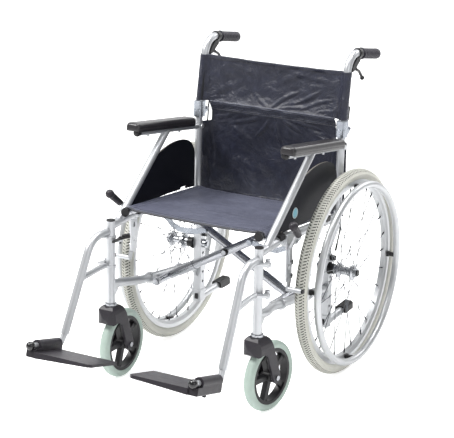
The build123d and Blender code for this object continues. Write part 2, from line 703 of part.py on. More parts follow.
# Footplate sections across the hinge line: (x, up) from the line
FOOT_BLOCK = [(-16, 2), (-16, -31), (12, -31), (14.5, -28), (14.5, 2)]
FOOT_TREAD = [(-14, -13.5), (-194, -13.5), (-194, -21.5), (-14, -31)]
FOOT_ADJUSTER = [(-4, -31.05), (-4, -40), (4, -40), (4, -31.05)]
FOOT_SLEEVE_LENGTH = 101.0
FOOT_LENGTH = 128.0
FOOT_BORE_R = 8.05


def footplate():
    """Hinge sleeve with its block and tapering plate, the end ball and a small block."""
    plane = Plane(origin=FOOT_REAR, x_dir=ALONG_X, z_dir=FOOT_FORWARD)

    def section(outline, length, offset=0.0):
        return plane * (Pos(0, 0, offset) * extrude(polygon(outline), amount=length))

    shape = plane * Cylinder(15.5, FOOT_SLEEVE_LENGTH, align=BASE_DOWN)
    shape += section(FOOT_BLOCK, 124.0)
    shape += section(FOOT_TREAD, FOOT_LENGTH)
    # pocket for the ball, then the chamfered inner front corner
    shape -= plane * (Pos(0, 0, FOOT_SLEEVE_LENGTH) * Cylinder(16.5, 60, align=BASE_DOWN))
    shape -= plane * (Pos(-194, 0, FOOT_LENGTH) * (Rot(0, 45, 0) * Box(14, 120, 14)))
    shape -= rod(FOOT_REAR - FOOT_FORWARD * 20, FOOT_FRONT + FOOT_FORWARD * 30, FOOT_BORE_R)
    shape = largest(shape)
    end_ball = ball(FOOT_FRONT, 12.5)
    end_ball -= rod(FOOT_REAR, FOOT_FRONT - FOOT_FORWARD * 8.5, 12.6)
    end_ball -= rod(FOOT_REAR, FOOT_FRONT - FOOT_FORWARD * 8.95, FOOT_BORE_R)
    return [shape, end_ball, section(FOOT_ADJUSTER, 8, 58)]


# ---------------------------------------------------------------------------
# Parking brake
# ---------------------------------------------------------------------------
# Brake plate: (y from the pivot, z)
BRAKE_PLATE = [(-17, 482), (17, 482), (17, 440), (15, 355), (9, 348), (-9, 348),
               (-15, 355), (-17, 440)]


def parking_brake_base():
    base = yz_plate([(BRAKE_Y + y, z) for y, z in BRAKE_PLATE], BRAKE_X, BRAKE_X + 4.5)
    clamp = box((FRAME_X - 15.5, BRAKE_Y - 17, 452), (BRAKE_X + 1, BRAKE_Y + 17, 484.5))
    clamp = clamp - box((FRAME_X - 20, BRAKE_Y - 20, 452), (FRAME_X, BRAKE_Y + 20, 463))
    base += clamp
    base -= pipe(UPPER_RAIL, TUBE_R + 0.02, UPPER_RAIL_BEND)
    base -= rod((SEAT_X, *SEAT_FRONT), (SEAT_X, *SEAT_REAR), SEAT_R + 2.2)
    # two windows in the plate
    for z0, z1 in ((422, 436), (380, 392)):
        y0, y1 = BRAKE_Y - 4, BRAKE_Y + 4
        base -= yz_plate([(y0, z0), (y1, z0), (y1, z1), (y0, z1)], BRAKE_X - 1, BRAKE_X + 6)
    base = largest(base)
    # headed pins of the lever and the shoe
    base += (rod_x(BRAKE_X + 1, BRAKE_X + 12.6, BRAKE_PIVOT, 4.0)
             + rod_x(BRAKE_X + 10.9, BRAKE_X + 13.5, BRAKE_PIVOT, 7.0))
    base += (rod_x(BRAKE_X + 1, BRAKE_X + 10, SHOE_PIVOT, 4.0)
             + rod_x(BRAKE_X + 10.1, BRAKE_X + 12.5, SHOE_PIVOT, 7.0))
    base += rod_x(BRAKE_X + 9, BRAKE_X + 11, SHOE_PIVOT, 4.0)
    return base


def parking_brake_lever():
    lever_x = BRAKE_X + 7.6
    knee = (lever_x, BRAKE_Y - 4, 444)
    neck = (287, BRAKE_Y - 14, 488)
    lever = bar((lever_x, *BRAKE_PIVOT), knee, 17, 5.4, ALONG_X)
    lever += bar(knee, neck, 14, 5.4, (0.87, 0, -0.49))
    lever += rod(neck, (289.5, BRAKE_Y - 27, 502), 5.5)
    lever -= rod_x(BRAKE_X, BRAKE_X + 20, BRAKE_PIVOT, PIVOT_HOLE_R)
    lever -= box((FRAME_X - 20, BRAKE_Y - 40, 380), (lever_x - 2.7, BRAKE_Y + 40, 470))
    grip_base, grip_end = (287.6, BRAKE_Y - 16, 491), (294, BRAKE_Y - 58.6, 526.6)
    grip = rod(grip_base, grip_end, 9.5, 11.0) + ball(grip_end, 13.0)
    lever = lever - rod(grip_base, grip_end, 9.5, 11.0)
    return [largest(lever), grip]


def parking_brake_shoe():
    shoe_x = BRAKE_X + 7.3
    shoe = bar((shoe_x, *SHOE_PIVOT), (shoe_x, *SHOE_BAR), 15, 5.0, ALONG_X)
    shoe += rod_x(shoe_x - 2.5, 300, SHOE_BAR, 6.8)
    shoe -= rod_x(BRAKE_X, BRAKE_X + 20, SHOE_PIVOT, PIVOT_HOLE_R)
    return [shoe, rod_x(300.05, 306, SHOE_BAR, 6.0)]


# ---------------------------------------------------------------------------
# Folding upper back: cane, grip, attendant brake, release lever
# ---------------------------------------------------------------------------
# Outlines in (y, z)
HINGE_TONGUE = [(48, 706.6), (52, 702.5), (56, 699.7), (59.5, 701), (62.2, 705), (62, 709),
                (59, 714), (52, 724), (48, 724)]
MOUNT_BODY = [(112, 902), (134, 899), (130, 889), (112, 878), (103, 868), (84, 864),
              (82, 874), (92, 886), (103, 894)]
RELEASE_OUTLINE = [(56, 737), (62.5, 729), (67, 728), (69, 738), (71, 752), (74, 764),
                   (70, 768), (63, 764), (60, 752)]
BRAKE_LEVER_PIVOT = (95, 876)
RELEASE_PIVOT = (62, 737)


def upper_cane():
    cane = pipe(UPPER_CANE, CANE_R, UPPER_CANE_BEND)
    cup = rounded_box((FRAME_X - 14, 22, 706.3), (FRAME_X + 14, 52, 731))
    cup += yz_plate(HINGE_TONGUE, FRAME_X - 6.8, FRAME_X + 6.8)
    cup -= rod_x(FRAME_X - 20, FRAME_X + 20, BACK_HINGE, 3.05)
    # room for the lower hinge's ears
    for x0, x1 in ((-15, -6.9), (6.9, 15)):
        cup -= rod_x(FRAME_X + x0, FRAME_X + x1, BACK_HINGE, 7.6)
    cane = cup + cane
    bore = [(FRAME_X, 38.0, 718), UPPER_CANE[1], (234.6, 243, 891.5)]
    cane -= pipe(bore, CANE_R - WALL, UPPER_CANE_BEND, grow=6)
    cane -= box((FRAME_X - 6.9, 40, 690), (FRAME_X + 6.9, 50.4, 706.2))
    return largest(cane)


def push_grip():
    """Ribbed grip; the profile is (along the handle, radius)."""
    bore_radius = CANE_R + 0.03
    profile = [(0, bore_radius), (0, 16.5), (4, 17.2), (7, 15.5)]
    for k in range(9):
        rib = 12 + k * 9.2
        profile += [(rib, 15.0), (rib + 1.2, 14.2), (rib + 3.2, 14.2), (rib + 4.4, 15.2)]
    profile += [(100, 15.4), (106, 15.2), (109.5, 12.5), (110.5, 8), (110.5, 0),
                (105.3, 0), (105.3, bore_radius)]
    start = Vector(*UPPER_CANE[2]) - GRIP_BACK * 105
    return Plane(origin=start, z_dir=GRIP_BACK) * spin(profile_face(profile))


def attendant_brake_mount():
    bore_radius = CANE_R + 0.03
    centre = Vector(*UPPER_CANE[2]) - GRIP_BACK * 122
    ring = rod(centre - GRIP_BACK * 7, centre + GRIP_BACK * 7, 15.0)
    ring = ring - rod(centre - GRIP_BACK * 9, centre + GRIP_BACK * 9, bore_radius)
    mount = ring + yz_plate(MOUNT_BODY, FRAME_X - 8.5, FRAME_X + 4.5)
    mount -= pipe(UPPER_CANE, bore_radius, UPPER_CANE_BEND)
    # slot for the lever, its pin, and a short stub below
    mount -= box((FRAME_X - 4.3, 89.5, 850), (FRAME_X + 0.3, 140, 887))
    mount += rod_x(FRAME_X - 8, FRAME_X + 4, BRAKE_LEVER_PIVOT, 2.5)
    mount += rod((FRAME_X - 2, 84, 848), (FRAME_X - 2, 86, 869), 3.2)
    return largest(mount)


def attendant_brake_lever():
    x = FRAME_X - 2
    blade = bar((x, *BRAKE_LEVER_PIVOT), (x, 118, 866), 9, 4.0, ALONG_X)
    blade -= rod_x(FRAME_X - 10, FRAME_X + 10, BRAKE_LEVER_PIVOT, 2.56)
    handle = pipe([(x, 116, 867), (x, 138, 857), (x, 158, 836)], 4.0, 22)
    handle = handle + ball((x, 160, 834), 6.5)
    return blade + handle


def back_release_lever():
    lever = yz_plate(RELEASE_OUTLINE, FRAME_X - 5.5, FRAME_X + 5.5)
    lever = fillet(lever.edges().filter_by(Axis.X), 1.5)
    lever -= rod_x(FRAME_X - 10, FRAME_X + 10, RELEASE_PIVOT, 2.55)
    return lever


# ---------------------------------------------------------------------------
# Cross brace: each cross tube carries a lower sleeve and one seat rail
# ---------------------------------------------------------------------------
def cross_tube(low_side, y):
    """Tube and rail plug; low_side is the sign of x at the lower hinge."""
    low = Vector(low_side * HINGE_X, y, HINGE_Z)
    rail_x = -low_side * SEAT_X
    top = Vector(rail_x, y, PIVOT_Z + SLOPE * SEAT_X)
    hinge = (low_side * HINGE_X, HINGE_Z)
    rail_front, rail_rear = Vector(rail_x, *SEAT_FRONT), Vector(rail_x, *SEAT_REAR)
    tube = rod(low, top, CROSS_R)
    tube += rod_y(*SLEEVE_Y, hinge, 11.0)
    tube += rod(rail_front, rail_rear, SEAT_R)
    along = (top - low).normalized()
    tube -= rod(low + along * 8, top, CROSS_R - WALL)
    tube -= rod((rail_x, SEAT_FRONT[0] - 5, SEAT_FRONT[1] + 0.35),
                (rail_x, SEAT_REAR[0] + 5, SEAT_REAR[1] - 0.35), SEAT_R - WALL)
    tube -= rod_y(-300, -80, hinge, 6.06)
    tube -= rod_y(y - 40, y + 40, PIVOT_XZ, 5.06)
    # trim the upper end below the seat cloth; the plane's -y is up
    plane = Plane(origin=(rail_x, y, seat_rail_z(y)), x_dir=ALONG_X, z_dir=SEAT_BACK)
    trim = plane * (Pos(0, -(10.4 + 20), 0) * Box(60, 40, 60))
    tube -= trim - rod(rail_front, rail_rear, SEAT_R)
    # lengthening sleeve on the lower half
    tube += (rod(low + along * 36, low + along * 96, CROSS_R + 1.6)
             - rod(low + along * 33, low + along * 99, CROSS_R - 0.5))
    # plug in the front end of the seat rail
    plug = rod(rail_front - SEAT_BACK * 6.5, rail_front, 12.6)
    plug = plug + rod(rail_front, rail_front + SEAT_BACK * 12, SEAT_R - WALL - 0.4)
    return [tube, plug]


def cross_pivot_bolt():
    """Bolt with its head and washers, and the spacer between the cross tubes."""
    bolt = rod_y(CROSS_FRONT_Y - 17, CROSS_REAR_Y + 17, PIVOT_XZ, 5.0)
    bolt += rod_y(CROSS_FRONT_Y - 16, CROSS_FRONT_Y - 12.6, PIVOT_XZ, 11.0)
    bolt += rod_y(CROSS_FRONT_Y - 20.5, CROSS_FRONT_Y - 16, PIVOT_XZ, 7.5)
    bolt += rod_y(CROSS_REAR_Y + 12.6, CROSS_REAR_Y + 16, PIVOT_XZ, 9.0)
    bolt += rod_y(CROSS_FRONT_Y + 12.7, CROSS_REAR_Y - 12.7, PIVOT_XZ, 10.0)
    return bolt


# Centre line of a stay link from the frame inward, (x, z)
STAY_LINE = [STAY_FRAME, (206, 425), (190, 409), (168, 399.5), (140, 399), (110, 403),
             STAY_BOLT]


def stay_link(side, y_front):
    y = y_front + STAY_THICK / 2
    points = [(side * x, y, z) for x, z in STAY_LINE]
    pieces = [bar(p, q, 16, STAY_THICK, ALONG_Y) for p, q in zip(points, points[1:])]
    link = pieces[0]
    for piece in pieces[1:]:
        link = link + piece
    link -= rod_y(y_front - 5, y_front + 8, (side * STAY_FRAME[0], STAY_FRAME[1]), 5.06)
    link += rod_y(y_front - 6.0, y, (side * STAY_BOLT[0], STAY_BOLT[1]), 7.5)
    return link


# ---------------------------------------------------------------------------
# Upholstery
# ---------------------------------------------------------------------------
# +X half of the seat's section: (x, height above the rail axis)
SEAT_HALF = [(213, 14.5), (221, 12.5), (223.5, 7), (221, 6.5), (219.8, 9.4), (213, 11.6),
             (204, 10.9), (200, 10.6)]


def seat_upholstery():
    # the plane's -y is up
    plane = Plane(origin=(0, -394, seat_rail_z(-394)), x_dir=ALONG_X, z_dir=SEAT_BACK)
    outline = [(x, -up) for x, up in SEAT_HALF] + [(-x, -up) for x, up in SEAT_HALF[::-1]]
    seat = plane * extrude(polygon(outline), amount=392)
    for side in (-1, 1):
        seat -= rod((side * SEAT_X, -420, seat_rail_z(-420)),
                    (side * SEAT_X, 30, seat_rail_z(30)), SEAT_R + 0.2)
    return largest(seat)


def back_upholstery_upper():
    """Cloth between the upper canes, with a sleeve round each."""
    z0, z1, thick = 733, 868, 5.0
    low_edge = Pos(0, upper_cane_at(z0, 1)[1] + 3.0, z0) * Rectangle(2 * 234, thick)
    high_edge = Pos(0, upper_cane_at(z1, 1)[1], z1) * Rectangle(2 * 233, thick)
    cloth = loft([low_edge.face(), high_edge.face()])
    for side in (-1, 1):
        cloth += rod(upper_cane_at(z0, side), upper_cane_at(z1, side), 14.5)
    # below the sleeves the cloth drops to the hinge line behind the canes
    cloth += yz_plate([(41.5, 736), (46.5, 736), (57.5, 708), (52.5, 708)], -206, 206)
    for side in (-1, 1):
        cloth -= rod(upper_cane_at(700, side), upper_cane_at(900, side), CANE_R + 0.3)
    return largest(cloth)


def back_upholstery_lower():
    cloth = yz_plate([(46, 456), (51, 456), (57, 668), (52, 668)], -246, 246)
    cloth += yz_plate([(51.9, 666), (56.9, 666), (57.5, 706), (52.5, 706)], -206, 206)
    return cloth


# ---------------------------------------------------------------------------
# Files
# ---------------------------------------------------------------------------
write("side_frame_left", side_frame(STAY_LEFT_Y))
build_side = -1
write("side_frame_right", side_frame(STAY_RIGHT_Y))
build_side = 1

for build in (frame_plugs, arm_pad, side_panel, axle_receiver, rear_hub, rear_rim, rear_tyre,
              rear_spokes, handrim, handrim_spacers, hanger, hanger_latch, footplate,
              parking_brake_base, parking_brake_lever, parking_brake_shoe, upper_cane,
              push_grip, attendant_brake_mount, attendant_brake_lever, back_release_lever):
    write_pair(build.__name__, build())

for build in (castor_fork, castor_hardware, castor_wheel, castor_tyre):
    write_castor(build.__name__, build())

write("cross_tube_front", cross_tube(-1, CROSS_FRONT_Y))
write("cross_tube_rear", cross_tube(1, CROSS_REAR_Y))
write("stay_link_left", stay_link(1, STAY_LEFT_Y))
write("stay_link_right", stay_link(-1, STAY_RIGHT_Y))

for build in (cross_pivot_bolt, seat_upholstery, back_upholstery_upper,
              back_upholstery_lower):
    write(build.__name__, build())
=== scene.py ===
"""A folding wheelchair with detailed upholstery, tyres, arm pads and cables.

Metres, +Z up, floor at z = 0. The chair faces -y, its left side is at +x, and the rear wheels
turn about the x direction at y = 0, z = 0.3. Sizes below are in millimetres unless noted;
MM turns them into metres. Material sizes are in metres.
"""
import math

import bpy
import numpy as np
from mathutils import Matrix, Vector


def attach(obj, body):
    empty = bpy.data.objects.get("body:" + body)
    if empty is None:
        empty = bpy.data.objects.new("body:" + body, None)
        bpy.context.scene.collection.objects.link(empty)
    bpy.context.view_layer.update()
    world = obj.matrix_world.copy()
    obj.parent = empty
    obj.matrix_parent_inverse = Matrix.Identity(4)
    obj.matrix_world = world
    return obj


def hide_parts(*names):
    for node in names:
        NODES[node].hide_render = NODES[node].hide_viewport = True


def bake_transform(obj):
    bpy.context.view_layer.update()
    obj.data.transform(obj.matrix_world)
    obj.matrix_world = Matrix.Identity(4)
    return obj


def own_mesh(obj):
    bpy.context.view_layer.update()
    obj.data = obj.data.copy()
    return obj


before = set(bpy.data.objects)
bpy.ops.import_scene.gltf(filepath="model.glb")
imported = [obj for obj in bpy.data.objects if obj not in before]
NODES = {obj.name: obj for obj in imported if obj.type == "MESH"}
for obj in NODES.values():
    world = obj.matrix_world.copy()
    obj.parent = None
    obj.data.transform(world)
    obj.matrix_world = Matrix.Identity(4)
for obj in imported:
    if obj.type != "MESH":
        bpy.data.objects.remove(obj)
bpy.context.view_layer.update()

MM = 0.001
SCENE = bpy.context.scene
SIDES = (("left", 1), ("right", -1))    # name and sign of x

AXLE_Z = 300.0             # rear wheel axle height
CANE_X = 236.0             # back canes and arm tubes, out from the middle
RAIL_X = 213.0             # seat rails, out from the middle


# ---------------------------------------------------------------------------
# shader helpers
# ---------------------------------------------------------------------------
def srgb(*levels):
    """Linear RGBA from 0-255 sRGB levels."""
    def linear(level):
        c = level / 255.0
        return c / 12.92 if c <= 0.04045 else ((c + 0.055) / 1.055) ** 2.4
    return tuple(linear(level) for level in levels) + (1.0,)


class Surface:
    """A node material in object coordinates. Most methods add a layer and return self.

    soft_edges starts the chain of normals, so it comes before any bump.
    """

    def __init__(self, name, color, rough=0.5, metal=0.0, spec=0.5, coat=0.0,
                 coat_rough=0.15, sheen=0.0):
        self.material = bpy.data.materials.new(name)
        self.material.use_nodes = True
        self.material.diffuse_color = color
        self.tree = self.material.node_tree
        self.shader = self.tree.nodes["Principled BSDF"]
        for key, value in (("Base Color", color), ("Roughness", rough), ("Metallic", metal),
                           ("Specular IOR Level", spec), ("Coat Weight", coat),
                           ("Coat Roughness", coat_rough), ("Sheen Weight", sheen)):
            self.shader.inputs[key].default_value = value
        self.color = color
        self.rough = rough
        self.coords = self.node("ShaderNodeTexCoord").outputs["Object"]
        self.top_color = color    # the colour, or the socket of the latest colour layer
        self.normal = None        # socket of the latest normal layer

    def feed(self, socket, value):
        """Links a socket, or sets a plain value."""
        if hasattr(value, "is_output"):
            self.tree.links.new(value, socket)
        else:
            socket.default_value = value

    def node(self, kind, **inputs):
        node = self.tree.nodes.new(kind)
        for key, value in inputs.items():
            self.feed(node.inputs[key.replace("_", " ")], value)
        return node

    def math(self, operation, a, b=0.0, c=0.0, clamp=False):
        node = self.node("ShaderNodeMath")
        node.operation = operation
        node.use_clamp = clamp
        for socket, value in zip(node.inputs, (a, b, c)):
            self.feed(socket, value)
        return node.outputs[0]

    def times(self, a, b, clamp=False):
        return self.math("MULTIPLY", a, b, clamp=clamp)

    def wave(self, distance, frequency):
        return self.math("SINE", self.times(distance, frequency))

    def noise(self, scale, detail, rough=0.55, distortion=0.0):
        return self.node("ShaderNodeTexNoise", Vector=self.coords, Scale=scale, Detail=detail,
                         Roughness=rough, Distortion=distortion).outputs["Fac"]

    def xyz(self):
        return self.node("ShaderNodeSeparateXYZ", Vector=self.coords).outputs

    def attribute(self, name):
        node = self.node("ShaderNodeAttribute")
        node.attribute_name = name
        return node.outputs["Fac"]

    def mix(self, factor, a, b):
        node = self.node("ShaderNodeMix")
        node.data_type = "RGBA"
        # the factor and the two colour inputs
        for index, value in ((0, factor), (6, a), (7, b)):
            self.feed(node.inputs[index], value)
        return node.outputs[2]

    def ramp(self, value, low, high):
        node = self.node("ShaderNodeMapRange", Value=value, From_Min=low, From_Max=high)
        return node.outputs["Result"]

    def shade(self, factor):
        return tuple(min(1.0, c * factor) for c in self.color[:3]) + (1.0,)

    def set_color(self, socket):
        self.top_color = socket
        self.tree.links.new(socket, self.shader.inputs["Base Color"])
        return self

    def set_normal(self, socket):
        self.normal = socket
        self.tree.links.new(socket, self.shader.inputs["Normal"])
        return self

    def vary(self, scale, amount, detail=4.0):
        """Cloudy lighter and darker patches."""
        cloud = self.ramp(self.noise(scale, detail), 0.3, 0.7)
        return self.set_color(self.mix(cloud, self.shade(1 - amount), self.shade(1 + amount)))

    def tint(self, factor, color):
        return self.set_color(self.mix(factor, self.top_color, color))

    def rough_vary(self, scale, amount, detail=4.0):
        cloud = self.noise(scale, detail)
        rough = self.math("MULTIPLY_ADD", cloud, 2 * amount, self.rough - amount)
        self.tree.links.new(rough, self.shader.inputs["Roughness"])
        return self

    def bump(self, height, strength, distance):
        node = self.node("ShaderNodeBump", Strength=strength, Distance=distance, Height=height)
        if self.normal is not None:
            self.feed(node.inputs["Normal"], self.normal)
        return self.set_normal(node.outputs["Normal"])

    def grain(self, scale, strength, distance):
        return self.bump(self.noise(scale, detail=2.0, rough=0.6), strength, distance)

    def leather(self, scale, strength, distance):
        cells = self.node("ShaderNodeTexVoronoi", Vector=self.coords, Scale=scale)
        return self.bump(cells.outputs["Distance"], strength, distance)

    def bevel(self, radius):
        node = self.node("ShaderNodeBevel", Radius=radius)
        node.samples = 4
        return node.outputs["Normal"]

    def soft_edges(self, radius):
        return self.set_normal(self.bevel(radius))

    def edge_wear(self, radius, color, amount):
        """Lighter, rubbed colour where the surface turns quickly."""
        turn = self.node("ShaderNodeVectorMath")
        turn.operation = "DOT_PRODUCT"
        self.feed(turn.inputs[0], self.bevel(radius))
        self.feed(turn.inputs[1], self.node("ShaderNodeNewGeometry").outputs["Normal"])
        edge = self.ramp(self.math("SUBTRACT", 1.0, turn.outputs["Value"]), 0.02, 0.2)
        speck = self.ramp(self.noise(scale=260.0, detail=6.0), 0.35, 0.65)
        return self.tint(self.times(self.times(edge, speck, clamp=True), amount), color)


# ---------------------------------------------------------------------------
# metals
# ---------------------------------------------------------------------------
silver = Surface("silver_paint", srgb(184, 186, 189), rough=0.36, metal=0.66,
                 coat=0.15, coat_rough=0.22)
silver.vary(scale=9.0, amount=0.035).rough_vary(scale=35.0, amount=0.05)
silver.soft_edges(radius=0.0005).grain(scale=2600.0, strength=0.05, distance=0.0002)

cross_silver = Surface("cross_tube_alloy", srgb(172, 174, 179), rough=0.22, metal=0.95)
cross_silver.vary(scale=9.0, amount=0.04).rough_vary(scale=35.0, amount=0.03)
cross_silver.soft_edges(radius=0.0005)

zinc = Surface("zinc_plate", srgb(158, 163, 171), rough=0.28, metal=0.9)
zinc.vary(scale=60.0, amount=0.08).rough_vary(scale=120.0, amount=0.08)
zinc.soft_edges(radius=0.0007).grain(scale=900.0, strength=0.06, distance=0.0002)

steel = Surface("bright_steel", srgb(160, 162, 166), rough=0.24, metal=1.0)
steel.vary(scale=50.0, amount=0.06).rough_vary(scale=150.0, amount=0.06)
steel.soft_edges(radius=0.0004)

spoke_steel = Surface("spoke_steel", srgb(92, 95, 100), rough=0.35, metal=0.6)
spoke_steel.vary(scale=40.0, amount=0.06)

nipple = Surface("nipple_dark", srgb(58, 58, 62), rough=0.4, metal=0.7)
nipple.vary(scale=300.0, amount=0.1)


def rim_surface():
    """Alloy with a turned finish: fine rings about the wheel axle."""
    rim = Surface("rim_alloy", srgb(194, 196, 198), rough=0.38, metal=0.6, coat=0.1)
    _, y, z = rim.xyz()
    radius = rim.math("SQRT", rim.math(
        "ADD", rim.times(y, y),
        rim.times(rim.math("SUBTRACT", z, AXLE_Z * MM), rim.math("SUBTRACT", z, AXLE_Z * MM))))
    rim.vary(scale=14.0, amount=0.03).rough_vary(scale=60.0, amount=0.05)
    rim.soft_edges(radius=0.0004)
    return rim.bump(rim.wave(radius, frequency=9000.0), strength=0.04, distance=0.0002)


rim_alloy = rim_surface()

hand_alloy = Surface("handrim_alloy", srgb(182, 184, 186), rough=0.36, metal=0.7, coat=0.1)
hand_alloy.vary(scale=22.0, amount=0.03).rough_vary(scale=90.0, amount=0.06)
hand_alloy.grain(scale=1900.0, strength=0.05, distance=0.0002)

hub_alloy = Surface("hub_alloy", srgb(176, 178, 182), rough=0.26, metal=0.95)
hub_alloy.vary(scale=40.0, amount=0.05).rough_vary(scale=150.0, amount=0.07)
hub_alloy.soft_edges(radius=0.0004)

# ---------------------------------------------------------------------------
# plastics, rubber and foam
# ---------------------------------------------------------------------------
black = Surface("black_plastic", srgb(24, 24, 26), rough=0.42, spec=0.35)
black.vary(scale=60.0, amount=0.1).soft_edges(radius=0.0006)
black.edge_wear(radius=0.0012, color=srgb(58, 58, 62), amount=0.35)
black.grain(scale=1500.0, strength=0.14, distance=0.0003)

gloss_black = Surface("gloss_black_plastic", srgb(18, 18, 20), rough=0.2, spec=0.45, coat=0.3)
gloss_black.vary(scale=80.0, amount=0.08).soft_edges(radius=0.0005)

charcoal = Surface("charcoal_nylon", srgb(34, 31, 37), rough=0.42, spec=0.35)
charcoal.vary(scale=45.0, amount=0.09).rough_vary(scale=70.0, amount=0.07)
charcoal.soft_edges(radius=0.0014)
charcoal.edge_wear(radius=0.0018, color=srgb(74, 72, 78), amount=0.4)
charcoal.grain(scale=1100.0, strength=0.22, distance=0.0004)

panel_black = Surface("side_panel_black", srgb(19, 20, 27), rough=0.46, spec=0.14)
panel_black.vary(scale=12.0, amount=0.1).grain(scale=1300.0, strength=0.16, distance=0.0003)

panel_edge = Surface("side_panel_edge", srgb(120, 116, 110), rough=0.5)
panel_edge.vary(scale=60.0, amount=0.12)

GRIP_RIDGE = 0.0042    # pitch of the ridges along the grips
rubber = Surface("grip_rubber", srgb(44, 42, 50), rough=0.55, spec=0.4)
rubber.vary(scale=90.0, amount=0.12).soft_edges(radius=0.0006)
rubber.bump(rubber.wave(rubber.xyz()[1], 2 * math.pi / GRIP_RIDGE), strength=0.5, distance=0.0007)
rubber.leather(scale=900.0, strength=0.2, distance=0.0003)

cable_black = Surface("cable_sheath", srgb(20, 20, 22), rough=0.36, spec=0.4)
cable_black.vary(scale=100.0, amount=0.1)
cable_black.bump(cable_black.noise(scale=2200.0, detail=1.0), strength=0.1, distance=0.0002)

badge_rim = Surface("badge_rim", srgb(190, 196, 196), rough=0.3, metal=0.4)
badge_rim.vary(scale=90.0, amount=0.05)

badge_face = Surface("badge_face", srgb(112, 164, 178), rough=0.35)
badge_face.vary(scale=90.0, amount=0.08)

foam = Surface("moulded_foam_pad", srgb(31, 29, 32), rough=0.34, spec=0.5,
               coat=0.15, coat_rough=0.3)
foam.vary(scale=30.0, amount=0.1).rough_vary(scale=45.0, amount=0.08)
foam.leather(scale=620.0, strength=0.32, distance=0.0005)
foam.grain(scale=2400.0, strength=0.1, distance=0.0002)


def add_dirt(surface, scale, low, high, amount, color):
    dirt = surface.ramp(surface.noise(scale, detail=5.0), low, high)
    surface.tint(surface.times(dirt, amount), color)


tyre_rubber = Surface("rear_tyre_rubber", srgb(190, 190, 182), rough=0.6, spec=0.3)
tyre_rubber.vary(scale=25.0, amount=0.05).rough_vary(scale=60.0, amount=0.06)
add_dirt(tyre_rubber, scale=120.0, low=0.35, high=0.75, amount=0.12, color=srgb(150, 148, 138))
# painted shade: the tread grooves are tinted near-black
tyre_rubber.tint(tyre_rubber.times(tyre_rubber.attribute("groove"), 0.94), srgb(34, 36, 30))
tyre_rubber.grain(scale=1500.0, strength=0.12, distance=0.0003)

castor_rubber = Surface("castor_tyre_rubber", srgb(158, 173, 165), rough=0.5, spec=0.35)
castor_rubber.vary(scale=35.0, amount=0.05).rough_vary(scale=80.0, amount=0.07)
add_dirt(castor_rubber, scale=90.0, low=0.45, high=0.8, amount=0.2, color=srgb(126, 148, 134))
castor_rubber.grain(scale=1200.0, strength=0.1, distance=0.0003)


# ---------------------------------------------------------------------------
# cloth
# ---------------------------------------------------------------------------
WEAVE_PITCH = 0.0011


def fabric(name, color, light, rough, pucker):
    """Coated woven nylon: fine two-way weave, cloudy sheen, scuffed patches."""
    cloth = Surface(name, color, rough=rough, spec=0.45, sheen=0.1, coat=0.03, coat_rough=0.35)
    cloth.shader.inputs["Sheen Roughness"].default_value = 0.4
    cloth.shader.inputs["Sheen Tint"].default_value = srgb(150, 156, 178)
    cloth.vary(scale=10.0, amount=0.14, detail=5.0)
    scuffs = cloth.ramp(cloth.noise(scale=55.0, detail=6.0, rough=0.65), 0.48, 0.8)
    cloth.tint(cloth.times(scuffs, 0.28), light)
    x, y, z = cloth.xyz()
    run = cloth.math("ADD", cloth.times(y, 0.6), z)
    weave = cloth.times(cloth.wave(x, 2 * math.pi / WEAVE_PITCH),
                        cloth.wave(run, 2 * math.pi / WEAVE_PITCH))
    cloth.tint(cloth.times(cloth.ramp(weave, -0.2, 1.0), 0.16), light)
    cloth.rough_vary(scale=42.0, amount=0.11, detail=5.0)
    cloth.bump(weave, strength=0.16, distance=0.00025)
    cloth.bump(cloth.noise(scale=130.0, detail=4.0, rough=0.6), strength=0.22, distance=0.0008)
    crumple = cloth.noise(scale=24.0, detail=6.0, rough=0.66, distortion=1.6)
    return cloth.bump(crumple, strength=0.55, distance=pucker)


cloth_back = fabric("back_nylon", srgb(26, 28, 42), light=srgb(70, 74, 94),
                    rough=0.33, pucker=0.009)
# painted shade in the sewn rows, sleeve seams and top hem groove, and painted highlight on the
# quilted crests between the rows
cloth_back.tint(cloth_back.times(cloth_back.attribute("row"), 0.6), srgb(9, 9, 13))
cloth_back.tint(cloth_back.times(cloth_back.attribute("painted_crest_highlight"), 0.4), srgb(104, 108, 128))


def painted_light_seat_surface():
    """Seat nylon, the back's fabric painted lighter as painted light from above; its turned front
    edge and front hem line are painted darker as painted shade.
    """
    # painted light: the seat's base colour is lighter than the same nylon on the back
    cloth = fabric("seat_nylon_painted_lighter", srgb(72, 74, 88), light=srgb(122, 125, 141),
                   rough=0.4, pucker=0.0022)
    y = cloth.xyz()[1]
    lip_y, lip_sharpness = -0.3895, 700.0
    hem_y, hem_sharpness = -0.377, 900.0
    # painted shade on the turned-down front edge
    lip_painted_shade = cloth.times(cloth.math("SUBTRACT", lip_y, y), lip_sharpness, clamp=True)
    cloth.tint(cloth.times(lip_painted_shade, 0.85), srgb(22, 23, 30))
    # painted shade along the front hem line
    from_hem = cloth.math("ABSOLUTE", cloth.math("ADD", y, -hem_y))
    hem = cloth.math("SUBTRACT", 1.0, cloth.times(from_hem, hem_sharpness), clamp=True)
    return cloth.tint(cloth.times(hem, 0.6), srgb(24, 25, 32))


cloth_seat_painted_lighter = painted_light_seat_surface()

thread = Surface("sewing_thread", srgb(26, 27, 34), rough=0.7)
thread.vary(scale=400.0, amount=0.2)

lining = Surface("sleeve_lining", srgb(22, 22, 27), rough=0.8)
lining.vary(scale=80.0, amount=0.1)


